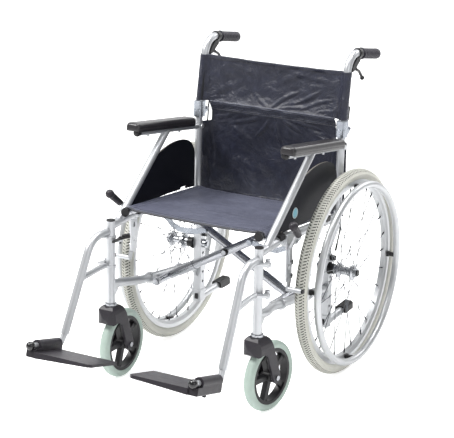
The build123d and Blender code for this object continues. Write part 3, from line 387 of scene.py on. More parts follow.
# ---------------------------------------------------------------------------
# materials on the CAD nodes, picked by where each face is
# ---------------------------------------------------------------------------
def paint(node, default, *zones):
    """Zones are (surface, test). A test gets each face's |x|, y, z and its normal's x.

    Later zones win.
    """
    mesh = NODES[node].data
    count = len(mesh.polygons)
    centres = np.zeros(count * 3, np.float32)
    mesh.polygons.foreach_get("center", centres)
    normals = np.zeros(count * 3, np.float32)
    mesh.polygons.foreach_get("normal", normals)
    x, y, z = centres.reshape(-1, 3).T * 1000
    mesh.materials.clear()
    mesh.materials.append(default.material)
    index = np.zeros(count, np.int32)
    for k, (surface, test) in enumerate(zones):
        mesh.materials.append(surface.material)
        index[test(np.abs(x), y, z, normals[::3])] = k + 1
    mesh.polygons.foreach_set("material_index", index)


def away(u, v, u0, v0):
    """Distance in a plane from the point u0, v0."""
    return np.hypot(u - u0, v - v0)


# one surface for the whole node
PLAIN_NODES = {
    "frame_plugs": black, "rear_hub": hub_alloy, "rear_rim": rim_alloy,
    "rear_tyre": tyre_rubber, "handrim": hand_alloy, "handrim_spacers": black,
    "castor_fork": charcoal, "castor_hardware": steel, "castor_wheel": black,
    "castor_tyre": castor_rubber, "hanger": silver, "hanger_latch": black,
    "push_grip": rubber, "attendant_brake_mount": black, "attendant_brake_lever": black,
    "back_release_lever": black, "stay_link": zinc,
}
# default surface, then (surface, zone) pairs
ZONED_NODES = {
    "side_frame": (
        silver,
        (zinc, lambda x, y, z, nx: (z > 683.5) & (y > 19) & (x > 218) & (y < 70)),
        (steel, lambda x, y, z, nx: (away(y, z, 56, 706) < 4) & (x > 218)),
        (steel, lambda x, y, z, nx: (y < -275.5) & (y > -283) & (away(x, z, 190, 260) < 10))),
    "side_panel": (panel_black, (panel_edge, lambda x, y, z, nx: np.abs(nx) < 0.6)),
    "axle_receiver": (
        black,
        (steel, lambda x, y, z, nx: (away(y, z, 0, AXLE_Z) < 6.9) & (x < 318)),
        (steel, lambda x, y, z, nx: (x < 203) & (away(y, z, 9, AXLE_Z) < 14))),
    "rear_spokes": (spoke_steel, (nipple, lambda x, y, z, nx: away(y, z, 0, AXLE_Z) > 236)),
    "footplate": (
        charcoal,
        (gloss_black, lambda x, y, z, nx: (y < -788) & (away(x, z, 252, 217.5) < 14))),
    "parking_brake_base": (silver, (steel, lambda x, y, z, nx: x > 258.5)),
    "parking_brake_lever": (
        silver, (charcoal, lambda x, y, z, nx: (z > 478) & (y < -314.5))),
    "parking_brake_shoe": (silver, (black, lambda x, y, z, nx: x > 300.02)),
    "upper_cane": (silver, (zinc, lambda x, y, z, nx: z < 731.6)),
}
for side, _ in SIDES:
    for node, surface in PLAIN_NODES.items():
        paint(f"{node}_{side}", surface)
    for node, surfaces in ZONED_NODES.items():
        paint(f"{node}_{side}", *surfaces)
for node in ("cross_tube_front", "cross_tube_rear"):
    paint(node, cross_silver,
          (black, lambda x, y, z, nx:
           (y < -399.5) | ((y < -385) & (away(x, z, RAIL_X, 495.8) < 9.3))))
paint("cross_pivot_bolt", steel,
      (black, lambda x, y, z, nx: (y > -216.4) & (y < -150) & (away(x, z, 0, 365) > 5.5)))


# ---------------------------------------------------------------------------
# mesh helpers
# ---------------------------------------------------------------------------
def make_object(name, verts, faces, surfaces, face_surfaces=None):
    mesh = bpy.data.meshes.new(name)
    mesh.from_pydata([tuple(map(float, v)) for v in verts], [],
                     [tuple(map(int, f)) for f in faces])
    mesh.validate(clean_customdata=False)
    obj = bpy.data.objects.new(name, mesh)
    SCENE.collection.objects.link(obj)
    for surface in surfaces:
        mesh.materials.append(surface.material)
    if face_surfaces is not None:
        mesh.polygons.foreach_set("material_index", np.asarray(face_surfaces, np.int32))
    smooth_shade(mesh)
    mesh.update()
    return obj


def smooth_shade(mesh):
    mesh.polygons.foreach_set("use_smooth", np.ones(len(mesh.polygons), bool))


def coordinates(mesh):
    flat = np.zeros(len(mesh.vertices) * 3, np.float32)
    mesh.vertices.foreach_get("co", flat)
    return flat.reshape(-1, 3).astype(float)


def set_attribute(obj, name, values):
    layer = obj.data.attributes.new(name, "FLOAT", "POINT")
    layer.data.foreach_set("value", np.asarray(values, np.float32))


def loft(rings, size):
    """Faces of a capped stack of closed rings of the same size."""
    faces = []
    for i in range(rings - 1):
        for k in range(size):
            a, b = i * size + k, i * size + (k + 1) % size
            faces.append((a, b, b + size, a + size))
    faces.append(tuple(range(size - 1, -1, -1)))
    faces.append(tuple((rings - 1) * size + k for k in range(size)))
    return faces


class Bodies:
    """Collects several closed bodies into one mesh."""

    def __init__(self):
        self.verts, self.faces, self.surfaces = [], [], []
        self.count = 0

    def add(self, verts, faces, surface):
        """surface is one slot index, or one for each face."""
        self.verts.append(np.asarray(verts, float))
        self.faces += [tuple(k + self.count for k in face) for face in faces]
        self.surfaces += list(np.broadcast_to(surface, len(faces)))
        self.count += len(verts)

    def done(self, name, surfaces):
        return make_object(name, np.concatenate(self.verts), self.faces, surfaces, self.surfaces)


def subdivide_once(obj):
    modifier = obj.modifiers.new("sub", "SUBSURF")
    modifier.levels = modifier.render_levels = 1
    bpy.context.view_layer.update()
    depsgraph = bpy.context.evaluated_depsgraph_get()
    mesh = bpy.data.meshes.new_from_object(obj.evaluated_get(depsgraph))
    obj.modifiers.clear()
    coarse = obj.data
    obj.data = mesh
    bpy.data.meshes.remove(coarse)
    mesh.name = obj.name


def unit(vector):
    return vector / np.linalg.norm(vector)


def smoothstep(t):
    t = np.clip(t, 0, 1)
    return t * t * (3 - 2 * t)


def index_of(values, value):
    """Fractional index of value in a monotonic array."""
    index = np.arange(len(values))
    if values[0] > values[-1]:
        return float(np.interp(value, values[::-1], index[::-1]))
    return float(np.interp(value, values, index))


# ---------------------------------------------------------------------------
# sheets: grids of points, rows by columns
# ---------------------------------------------------------------------------
def grid_normals(points):
    normals = np.cross(np.gradient(points, axis=1), np.gradient(points, axis=0))
    return normals / np.maximum(np.linalg.norm(normals, axis=2, keepdims=True), 1e-12)


def closed_sheet(points, thickness, flip=False):
    """Closed thin body round a grid: two faces and a rounded rim."""
    normals = grid_normals(points)
    if flip:
        normals = -normals
    rows, cols = points.shape[:2]
    offset = normals * thickness[..., None] / 2
    layer = rows * cols
    faces = []

    def at(i, j):
        return i * cols + j

    for i in range(rows - 1):
        for j in range(cols - 1):
            quad = (at(i, j), at(i, j + 1), at(i + 1, j + 1), at(i + 1, j))
            faces.append(quad)
            faces.append(tuple(layer + k for k in reversed(quad)))
    border = [(0, j) for j in range(cols)]
    border += [(i, cols - 1) for i in range(1, rows)]
    border += [(rows - 1, j) for j in range(cols - 2, -1, -1)]
    border += [(i, 0) for i in range(rows - 2, 0, -1)]
    rim = []
    for i, j in border:
        out = np.zeros(3)
        if i == 0:
            out += points[0, j] - points[1, j]
        if i == rows - 1:
            out += points[-1, j] - points[-2, j]
        if j == 0:
            out += points[i, 0] - points[i, 1]
        if j == cols - 1:
            out += points[i, -1] - points[i, -2]
        rim.append(points[i, j] + unit(out) * thickness[i, j] * 0.5)
    for k in range(len(border)):
        k2 = (k + 1) % len(border)
        a, b = at(*border[k]), at(*border[k2])
        rim_a, rim_b = 2 * layer + k, 2 * layer + k2
        faces.append((a, rim_a, rim_b, b))
        faces.append((layer + b, rim_b, rim_a, layer + a))
    if flip:
        faces = [tuple(reversed(face)) for face in faces]
    verts = [(points + offset).reshape(-1, 3), (points - offset).reshape(-1, 3), np.array(rim)]
    return np.concatenate(verts), faces


def smooth_noise(rng, rows, cols, cells):
    """Soft seeded noise in -1..1 over a grid, with the given cells across."""
    cell_rows, cell_cols = int(cells * rows / cols) + 3, cells + 3
    knots = rng.uniform(-1, 1, (cell_rows, cell_cols))
    v = np.linspace(0, cell_rows - 1.001, rows)
    u = np.linspace(0, cell_cols - 1.001, cols)
    i, j = v.astype(int), u.astype(int)
    fv, fu = v - i, u - j
    fv, fu = fv * fv * (3 - 2 * fv), fu * fu * (3 - 2 * fu)
    a = knots[np.ix_(i, j)] * (1 - fv)[:, None] + knots[np.ix_(i + 1, j)] * fv[:, None]
    b = knots[np.ix_(i, j + 1)] * (1 - fv)[:, None] + knots[np.ix_(i + 1, j + 1)] * fv[:, None]
    return a * (1 - fu)[None, :] + b * fu[None, :]


SETTLE_FRAMES = 22


def settle(name, points, pin, gravity, shrink, bend, stiff, cap, seed, rough):
    """Runs the sheet as cloth held where pin is 1, and returns where its points settle.

    No point moves further than cap; rough is the height of the seeded starting noise.
    """
    rows, cols = points.shape[:2]
    rng = np.random.default_rng(seed)
    noise = smooth_noise(rng, rows, cols, 9)
    start = points + grid_normals(points) * (noise * rough)[..., None]
    faces = [(i * cols + j, i * cols + j + 1, (i + 1) * cols + j + 1, (i + 1) * cols + j)
             for i in range(rows - 1) for j in range(cols - 1)]
    obj = make_object(name + "_sim", start.reshape(-1, 3), faces, [])
    group = obj.vertex_groups.new(name="pin")
    weights = pin.reshape(-1)
    for k in np.nonzero(weights > 0.001)[0]:
        group.add([int(k)], float(weights[k]), "REPLACE")
    modifier = obj.modifiers.new("cloth", "CLOTH")
    cloth = modifier.settings
    cloth.quality = 5
    cloth.mass = 0.15
    cloth.tension_stiffness = stiff
    cloth.compression_stiffness = stiff
    cloth.shear_stiffness = stiff * 0.4
    cloth.bending_stiffness = bend
    cloth.tension_damping = 5.0
    cloth.compression_damping = 5.0
    cloth.shear_damping = 5.0
    cloth.air_damping = 2.0
    cloth.vertex_group_mass = "pin"
    cloth.shrink_min = shrink
    cloth.effector_weights.gravity = 1.0
    modifier.collision_settings.use_collision = False
    modifier.point_cache.frame_start = 1
    modifier.point_cache.frame_end = SETTLE_FRAMES + 1
    scene_gravity = SCENE.gravity.copy()
    SCENE.use_gravity = True
    SCENE.gravity = gravity
    for step in range(1, SETTLE_FRAMES + 1):
        SCENE.frame_set(step)
    depsgraph = bpy.context.evaluated_depsgraph_get()
    settled = coordinates(obj.evaluated_get(depsgraph).data).reshape(rows, cols, 3)
    SCENE.gravity = scene_gravity
    SCENE.frame_set(1)
    mesh = obj.data
    bpy.data.objects.remove(obj)
    bpy.data.meshes.remove(mesh)
    # an unstable simulation leaves the sheet as it was
    if not np.isfinite(settled).all():
        return points
    move = settled - points
    length = np.linalg.norm(move, axis=2, keepdims=True)
    return points + move * (np.tanh(length / cap) * cap / np.maximum(length, 1e-9))


def crease(u, v, u0, v0, u1, v1, width, depth, bow):
    """Height of a soft fold along a segment in the sheet's own plane coordinates."""
    du, dv = u1 - u0, v1 - v0
    length = math.hypot(du, dv)
    t = ((u - u0) * du + (v - v0) * dv) / (length * length)
    arc = np.sin(np.pi * np.clip(t, 0, 1))
    offset = ((u - u0) * dv - (v - v0) * du) / length + bow * arc
    fade = np.clip(t * 3.2 + 0.25, 0, 1) * np.clip((1 - t) * 3.2 + 0.25, 0, 1)
    fade = np.where((t < -0.08) | (t > 1.08), 0, fade)
    s = offset / (width * (0.6 + 0.4 * arc))
    # a ridge with a shallow valley on either side
    return depth * fade * (np.exp(-s * s) - 0.55 * np.exp(-((s - 1.5) ** 2))
                           - 0.35 * np.exp(-((s + 1.6) ** 2)))


def creases(u, v, table, width_scale=1.0, depth_scale=1.0):
    return sum(depth_scale * crease(u, v, *ends, width * width_scale, depth, bow)
               for *ends, width, depth, bow in table)


def ridge(offset, height, width):
    """Bell-shaped height across a line; a negative height is a groove."""
    return height * np.exp(-((offset / width) ** 2))


def displace(points, height, axis, toward):
    """Moves points along their normals, taken to face the toward sign of an axis."""
    normals = grid_normals(points)
    sign = toward * np.sign(normals[..., axis:axis + 1])
    return points + normals * sign * (height * MM)[..., None]


# ---------------------------------------------------------------------------
# stitches (metres)
# ---------------------------------------------------------------------------
STITCH_LENGTH = 0.0042
STITCH_GAP = 0.0016
THREAD_RADIUS = 0.00045
THREAD_LIFT = 0.0002
STITCH_RINGS = ((0.35, -0.3), (1.0, 1.0), (0.35, -0.3))    # radius factor, rise factor
STITCH_SIDES = 6


def stitch_row(line, normals):
    """Thread dashes along a polyline lying on a surface."""
    steps = np.linalg.norm(np.diff(line, axis=0), axis=1)
    run = np.concatenate([[0], np.cumsum(steps)])
    table = np.hstack([line, normals]).T
    verts, faces = [], []
    start = STITCH_GAP
    while start + STITCH_LENGTH < run[-1]:
        stations = [start, start + STITCH_LENGTH / 2, start + STITCH_LENGTH]
        samples = np.array([np.interp(stations, run, column) for column in table]).T
        direction = unit(samples[2, :3] - samples[0, :3])
        base = len(verts)
        for sample, (thick, rise) in zip(samples, STITCH_RINGS):
            normal = unit(sample[3:])
            across = np.cross(direction, normal)
            centre = sample[:3] + normal * (THREAD_LIFT + THREAD_RADIUS * 0.5 * rise)
            for k in range(STITCH_SIDES):
                angle = 2 * math.pi * k / STITCH_SIDES
                spoke = across * math.cos(angle) + normal * math.sin(angle)
                verts.append(centre + spoke * THREAD_RADIUS * thick)
        faces += [tuple(base + k for k in face)
                  for face in loft(len(STITCH_RINGS), STITCH_SIDES)]
        start += STITCH_LENGTH + STITCH_GAP
    return np.array(verts), faces


def at_grid(grid, i, j):
    """Value of a grid at a fractional row and column."""
    i0, j0 = min(int(i), grid.shape[0] - 2), min(int(j), grid.shape[1] - 2)
    fi, fj = i - i0, j - j0
    return (grid[i0, j0] * (1 - fi) * (1 - fj) + grid[i0 + 1, j0] * fi * (1 - fj)
            + grid[i0, j0 + 1] * (1 - fi) * fj + grid[i0 + 1, j0 + 1] * fi * fj)


def row_path(row, columns, inset=1.0):
    return [(row, j) for j in np.linspace(inset, columns - 1 - inset, columns)]


def column_path(column, first, last, count):
    return [(i, column) for i in np.linspace(first, last, count)]


def sew(bodies, points, thickness, paths):
    """Stitches both faces of a sheet along paths of (row, column)."""
    normals = grid_normals(points)
    for path in paths:
        line = np.array([at_grid(points, i, j) for i, j in path])
        normal = np.array([at_grid(normals, i, j) for i, j in path])
        thick = np.array([at_grid(thickness, i, j) for i, j in path])[:, None]
        for face in (-1, 1):
            bodies.add(*stitch_row(line + normal * face * thick / 2, normal * face), 1)


# ---------------------------------------------------------------------------
# rear tyres with a moulded tread
# ---------------------------------------------------------------------------
TYRE_X = 283.5              # middle plane of each tyre
TYRE_STEPS = 1760           # round the wheel
# one side wall, from the rim outwards: offset from the middle plane, radius
TYRE_WALL = [(-9.9, 267.3), (-11.1, 270.5), (-12.7, 270.9), (-15.2, 273.5), (-16.6, 276.8),
             (-17.3, 280.2), (-17.4, 283.6), (-17.0, 287.2)]
CROWN_POINTS = 41
CROWN_SWEEP = 78            # degrees either side of the crown line
CROWN_CENTRE, CROWN_HALF_WIDTH, CROWN_HEIGHT = 283.0, 16.9, 16.95
TREAD_RADIUS = 298.0        # where distances round the tyre are taken
TREAD_PITCH = 2 * math.pi * TREAD_RADIUS / 208
# rows of cross grooves: distance from the crown line, half length, slant, phase
TREAD_ROWS = ((7.0, 4.9, 0.42, 0.0), (15.2, 2.6, -0.3, 0.5))
GROOVE_DEPTH = 1.3


def tyre_section():
    crown = []
    for k in range(CROWN_POINTS):
        angle = math.radians(-CROWN_SWEEP + 2 * CROWN_SWEEP * k / (CROWN_POINTS - 1))
        x = CROWN_HALF_WIDTH * math.sin(angle) * (1 - 0.02 * math.cos(angle))
        crown.append((x, CROWN_CENTRE + CROWN_HEIGHT * math.cos(angle) ** 0.92))
    return np.array(TYRE_WALL + crown + [(-x, radius) for x, radius in reversed(TYRE_WALL)])


def tread_grooves(run, lateral):
    """Groove fraction, 0 to 1, from distances round the tyre and off the crown line."""
    groove = np.zeros_like(run)
    for centre, half, slant, phase in TREAD_ROWS:
        for sign in (-1, 1):
            off = sign * lateral - centre
            turn = (run + slant * off) / TREAD_PITCH + phase + (0.5 if sign > 0 else 0)
            gap = np.abs(turn % 1.0 - 0.5) * TREAD_PITCH
            cut = np.clip((2.2 - gap) / 0.8, 0, 1) * np.clip((half - np.abs(off)) / 0.7, 0, 1)
            groove = np.maximum(groove, cut)
    # a fine running groove 1 mm either side of the crown line
    fine = 0.25 * np.clip((0.5 - np.abs(np.abs(lateral) - 1.0)) / 0.4, 0, 1)
    return np.maximum(groove, fine)


def rear_tyre(side, sign):
    section = tyre_section()
    offset, radius = section.T
    arc = np.concatenate([[0], np.cumsum(np.hypot(np.diff(offset), np.diff(radius)))])
    crown = slice(len(TYRE_WALL), len(TYRE_WALL) + CROWN_POINTS)
    middle = np.interp(0.0, offset[crown], arc[crown])
    angles = np.arange(TYRE_STEPS) * 2 * math.pi / TYRE_STEPS
    angle, lateral = np.meshgrid(angles, arc - middle, indexing="ij")
    groove = tread_grooves(angle * TREAD_RADIUS, lateral)
    cut_radius = radius[None, :] - GROOVE_DEPTH * groove
    x = sign * (TYRE_X + np.broadcast_to(offset[None, :], angle.shape))
    verts = np.stack([x, cut_radius * np.cos(angle), AXLE_Z + cut_radius * np.sin(angle)],
                     axis=2).reshape(-1, 3) * MM
    size = len(section)
    i = np.arange(TYRE_STEPS)[:, None]
    j = np.arange(size)[None, :]
    next_i, next_j = (i + 1) % TYRE_STEPS, (j + 1) % size
    corners = [(i * size + j).ravel(), (i * size + next_j).ravel(),
               (next_i * size + next_j).ravel(), (next_i * size + j).ravel()]
    faces = np.stack(corners[::sign], 1)
    obj = make_object(f"rear_tyre_tread_{side}", verts, faces, [tyre_rubber])
    # the groove attribute also drives painted shade in the tyre material
    set_attribute(obj, "groove", groove.ravel())
    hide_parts(f"rear_tyre_{side}")
    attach(obj, f"wheel_{side}")


# ---------------------------------------------------------------------------
# moulded arm pads
# ---------------------------------------------------------------------------
PAD_ORIGIN = (CANE_X, -346.0, 706.5)    # on the arm tube's line
PAD_DIRECTION = (0, 332.0, -45.0)       # rearwards and a little down
PAD_START = 26.0                        # from the origin to the pad's front end
PAD_LENGTH = 322.0
PAD_HALF_WIDTH = 23.3
PAD_BOTTOM, PAD_TOP = 2.2, 27.8         # above the tube's line
PAD_OUT = 10.0                          # the pad's middle lies outboard of the tube
PAD_END = 11.0                          # length over which each end rounds off
PAD_CEILING = 28.0
# the slot for the tube: a round bulge near the front, then the tube itself
BULGE_RADIUS, BULGE_AT, BULGE_END = 11.7, 39.4, 50
TUBE_SLOT_RADIUS = 9.35
PAD_STATIONS = np.concatenate([
    [0.4, 1.0, 2.0, 2.6, 5.0, 9.0, 13.4, 18.0, 22.0, 25.0, 30.0],
    np.linspace(38, PAD_LENGTH - 26, 32),
    [PAD_LENGTH - d for d in (19, 13, 8.5, 5, 2.6, 1.1, 0.4)]])


def pad_slot(along, bottom):
    """Half the slot: offset from its middle and height, from its top down."""
    radius = TUBE_SLOT_RADIUS
    if along <= BULGE_END:
        before = max(0.0, BULGE_AT - along)
        radius = math.sqrt(max(0.01, BULGE_RADIUS ** 2 - before ** 2))
    if radius < bottom + 0.3:
        return [(1.5 * k, bottom) for k in range(7)]
    leans = np.linspace(0, math.acos(bottom / radius), 7)
    return [(radius * math.sin(lean), radius * math.cos(lean)) for lean in leans]


def pad_section(station):
    """Ring of (outboard offset from the pad's middle, height above the tube's line)."""
    end = min(station, PAD_LENGTH - station)
    lost = 1 - math.sqrt(1 - max(0.0, (PAD_END - end) / PAD_END) ** 2)
    # a little fuller in the middle
    width = (PAD_HALF_WIDTH - 10.5 * lost) * (1 + 0.012 * math.sin(math.pi * station / PAD_LENGTH))
    bottom, top = PAD_BOTTOM + 7.5 * lost, PAD_TOP - 9.0 * lost
    crown = 0.9 * math.sin(math.pi * min(1, end / 60) / 2)
    slot = pad_slot(station + PAD_START, bottom)
    outer_slot = [(-PAD_OUT + dx, z) for dx, z in slot]
    inner_slot = [(max(-PAD_OUT - dx, 3.6 - width), z) for dx, z in slot[1:]]
    # lower edge, then a fine groove along the side wall
    wall = [(width - 3.2, bottom), (width - 1.6, bottom + 0.6), (width - 0.5, bottom + 2.2)]
    groove = bottom + (top - bottom) * 0.36
    wall += [(width - inset, groove + dz) for inset, dz in
             ((0.05, -1.6), (0.15, -0.6), (1.1, 0.0), (0.15, 0.6), (0.0, 1.6))]
    shoulder = groove + 1.6
    for k in range(1, 9):
        angle = math.radians(k * 90 / 9)
        wall.append((width - 8.5 * (1 - math.cos(angle)),
                     shoulder + (top - shoulder) * math.sin(angle)))
    for k in range(1, 5):
        left = 1 - k / 4
        wall.append(((width - 8.5) * left, top + crown * (1 - left ** 2) * 0.25))
    mirrored = [(-x, z) for x, z in reversed(wall[:-1])]
    return outer_slot + wall + mirrored + inner_slot[::-1]


def arm_pad(side, sign):
    along = unit(np.array(PAD_DIRECTION))
    up = np.array([0, -along[2], along[1]])
    origin = np.array(PAD_ORIGIN) * (sign, 1, 1)
    verts = []
    for station in PAD_STATIONS:
        section = pad_section(station)
        for x, z in section:
            out = np.array([sign * (x + PAD_OUT), 0, 0])
            spot = origin + along * (station + PAD_START) + up * min(z, PAD_CEILING) + out
            verts.append(spot * MM)
    faces = loft(len(PAD_STATIONS), len(section))
    if sign < 0:
        faces = [tuple(reversed(face)) for face in faces]
    obj = make_object(f"arm_pad_moulded_{side}", verts, faces, [foam])
    subdivide_once(obj)
    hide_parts(f"arm_pad_{side}")
    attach(obj, f"frame_{side}")


# ---------------------------------------------------------------------------
# upper back panel: a flat sheet on the canes with a quilted band at its foot
# ---------------------------------------------------------------------------
CANE_FOOT_Y, CANE_FOOT_Z = 36.5, 708.0
CANE_RISE = 213.0                     # over this height the cane leans as below
CANE_LEAN_Y, CANE_LEAN_X = 32.0, -2.2

UPPER_HALF = 218.0                    # half width between the sleeves
BAND_HALF = 206.0                     # half width of the band below them
KNEE_Z = 736.0                        # the sheet turns back into the band below this
HINGE_Y = 55.0                        # y of the band's foot and the lower panel's top
BAND_ROWS = (730.2, 725.0, 719.8, 714.6, 709.8)    # heights of the sewn rows
BAND_PITCH = 5.15                     # of the quilting
UPPER_HEM_Z = 855.2                   # groove under the top hem
# folds seen from the front: x0, z0, x1, z1, width, depth, bow
UPPER_CREASES = [
    (0, 738, 84, 792, 8.0, 3.0, 5), (56, 752, 160, 808, 8.5, 2.7, -6),
    (96, 742, 196, 782, 7.0, 2.2, 5), (-14, 736, -62, 772, 7.0, 1.7, 3),
    (24, 737, 128, 748, 5.5, 1.8, 3), (-196, 752, -96, 800, 15.0, 1.9, 6),
    (40, 850, 176, 832, 12.0, 1.7, -4), (-170, 850, -60, 822, 14.0, 1.5, 5),
    (10, 806, 110, 846, 13.0, 1.5, 5), (150, 742, 208, 752, 5.0, 1.3, 1),
    (-206, 742, -150, 752, 5.0, 1.2, 1),
]
BACK_CREASE_SCALE = dict(width_scale=0.72, depth_scale=1.15)
# cloth settings shared by both back panels
BACK_CLOTH = dict(shrink=-0.006, bend=0.012, stiff=10.0, rough=0.0016)


def cane_at(z):
    """x and y of the left cane's centre line."""
    t = (z - CANE_FOOT_Z) / CANE_RISE
    return CANE_X + CANE_LEAN_X * t, CANE_FOOT_Y + CANE_LEAN_Y * t


def behind_cane(z):
    """How far the upper panel lies behind the canes' centre line."""
    return 2.6 - 1.8 * smoothstep((z - 733) / 135)


def quilting(z):
    return np.cos((z - BAND_ROWS[0]) / BAND_PITCH * 2 * np.pi)


def upper_sheet(level, u):
    low = smoothstep((KNEE_Z - level) / 4.0)
    half = UPPER_HALF * (1 - low) + BAND_HALF * low
    knee_y = cane_at(KNEE_Z)[1] + 2.6
    drop = smoothstep((KNEE_Z - level) / (KNEE_Z - CANE_FOOT_Z))
    y = np.where(level > KNEE_Z, cane_at(level)[1] + behind_cane(level),
                 knee_y + (HINGE_Y - knee_y) * drop)
    x = u[None, :] * half[:, None]
    z = np.repeat(level[:, None], len(u), 1)
    belly = ((1 - np.abs(u[None, :]) ** 2.4) * (smoothstep((z - 712) / 60) * 5.0)
             * (1 - 0.55 * smoothstep((z - 820) / 45)))
    points = np.stack([x, y[:, None] + belly, z], 2) * MM
    pin = np.zeros(x.shape)
    pin[:, :2] = pin[:, -2:] = 1
    pin[-1, :] = 1
    pin[level < 731, :] = np.maximum(pin[level < 731, :], 0.6)
    pin[0, :] = np.maximum(pin[0, :], 0.35)
    return settle("back_upper", points, pin, gravity=(0, 2.4, -4.0), cap=0.0065, seed=3,
                  **BACK_CLOTH)


def upper_relief(x, z):
    """Height towards the front, and thickness."""
    rng = np.random.default_rng(11)
    edge = np.clip((UPPER_HALF - np.abs(x)) / 40, 0, 1)
    side = UPPER_HALF - np.abs(x)
    height = creases(x, z, UPPER_CREASES, **BACK_CREASE_SCALE)
    # small and large soft waves
    height += 0.7 * smooth_noise(rng, *x.shape, 26) * edge * smoothstep((z - 735) / 20)
    height += (2.7 * smooth_noise(rng, *x.shape, 10) * edge
               * smoothstep((z - 740) / 30) * smoothstep((866 - z) / 14))
    # gathers above the quilted band and beside the sleeve seams
    phase = 0.9 * smooth_noise(rng, *x.shape, 14)
    height += (0.32 * np.exp(-np.clip(z - 733, 0, 200) / 11) * smoothstep((z - 731) / 3)
               * np.sin(x / 7.5 + 3 * phase))
    height += (0.3 * np.exp(-side / 12) * np.sin(z / 6.5 + 4 * phase)
               * smoothstep((z - 738) / 8))
    # quilted rows
    band = smoothstep((734 - z) / 2.0)
    quilt = quilting(z)
    height += band * (-1.35 * np.clip(quilt, -0.3, 1) + 0.45
                      + 0.06 * np.sin(x / 3.6 + 5 * phase) * np.clip(-quilt, 0, 1))
    # hem groove, and the sewn seam next to each sleeve
    height += ridge(z - UPPER_HEM_Z, height=-0.7, width=1.1)
    height += ridge(side - 3.2, height=-0.9, width=1.2) * smoothstep((z - 735) / 3)
    thickness = (2.0 + 1.5 * smoothstep((z - 856) / 1.5)
                 + 1.0 * np.exp(-side / 3) * smoothstep((z - 734) / 3) + 0.6 * band)
    return height, thickness


def build_upper_back():
    level = np.concatenate([np.linspace(867.6, 737, 46), np.linspace(734.6, 707.6, 27)])
    u = np.linspace(-1, 1, 150)
    points = upper_sheet(level, u)
    height, thickness = upper_relief(points[..., 0] * 1000, points[..., 2] * 1000)
    points = displace(points, height, axis=1, toward=-1)
    thickness = thickness * MM
    bodies = Bodies()
    bodies.add(*closed_sheet(points, thickness), 0)
    paths = [row_path(index_of(level, z), len(u), inset=1.5) for z in BAND_ROWS]
    paths.append(row_path(index_of(level, 857.8), len(u)))
    for x in (-214.8, 214.8):
        paths.append(column_path(index_of(u * UPPER_HALF, x), 0.5, index_of(level, 738), 60))
    sew(bodies, points, thickness, paths)
    obj = bodies.done("back_upper_panel", [cloth_back, thread])
    x, _, z = coordinates(obj.data).T * 1000
    # row marks the sewn lines, the sleeve seams and the top hem groove, darkened as painted shade;
    # crest marks the quilting between the rows, lightened as painted highlight
    row = np.clip((quilting(z) - 0.25) / 0.6, 0, 1) * smoothstep((733.6 - z) / 1.0)
    seam = ridge(UPPER_HALF - np.abs(x) - 3.2, height=0.8, width=1.3) * (z > 736)
    row = np.maximum(np.maximum(row, seam), ridge(z - UPPER_HEM_Z, height=0.6, width=1.1))
    set_attribute(obj, "row", row)
    painted_crest_highlight = np.clip((-quilting(z) - 0.2) / 0.6, 0, 1) * smoothstep((734.6 - z) / 1.0)
    set_attribute(obj, "painted_crest_highlight", painted_crest_highlight)
    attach(obj, "back_left")
    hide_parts("back_upholstery_upper")
    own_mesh(obj)
    for side, sign in SIDES:
        build_sleeve(side, sign)


# ---------------------------------------------------------------------------
# sleeves: pockets of cloth round the canes, sewn flat against the upper panel
# ---------------------------------------------------------------------------
SLEEVE_LEVELS = np.concatenate([[868.0, 867.2, 865.5], np.linspace(862, 738, 42),
                                [735.2, 733.9, 733.3]])
SLEEVE_STEPS = 56
SLEEVE_OUTER, SLEEVE_INNER = 13.15, 11.45     # radii
SLEEVE_TAIL = 9.5                             # reach of the inboard side towards the seam


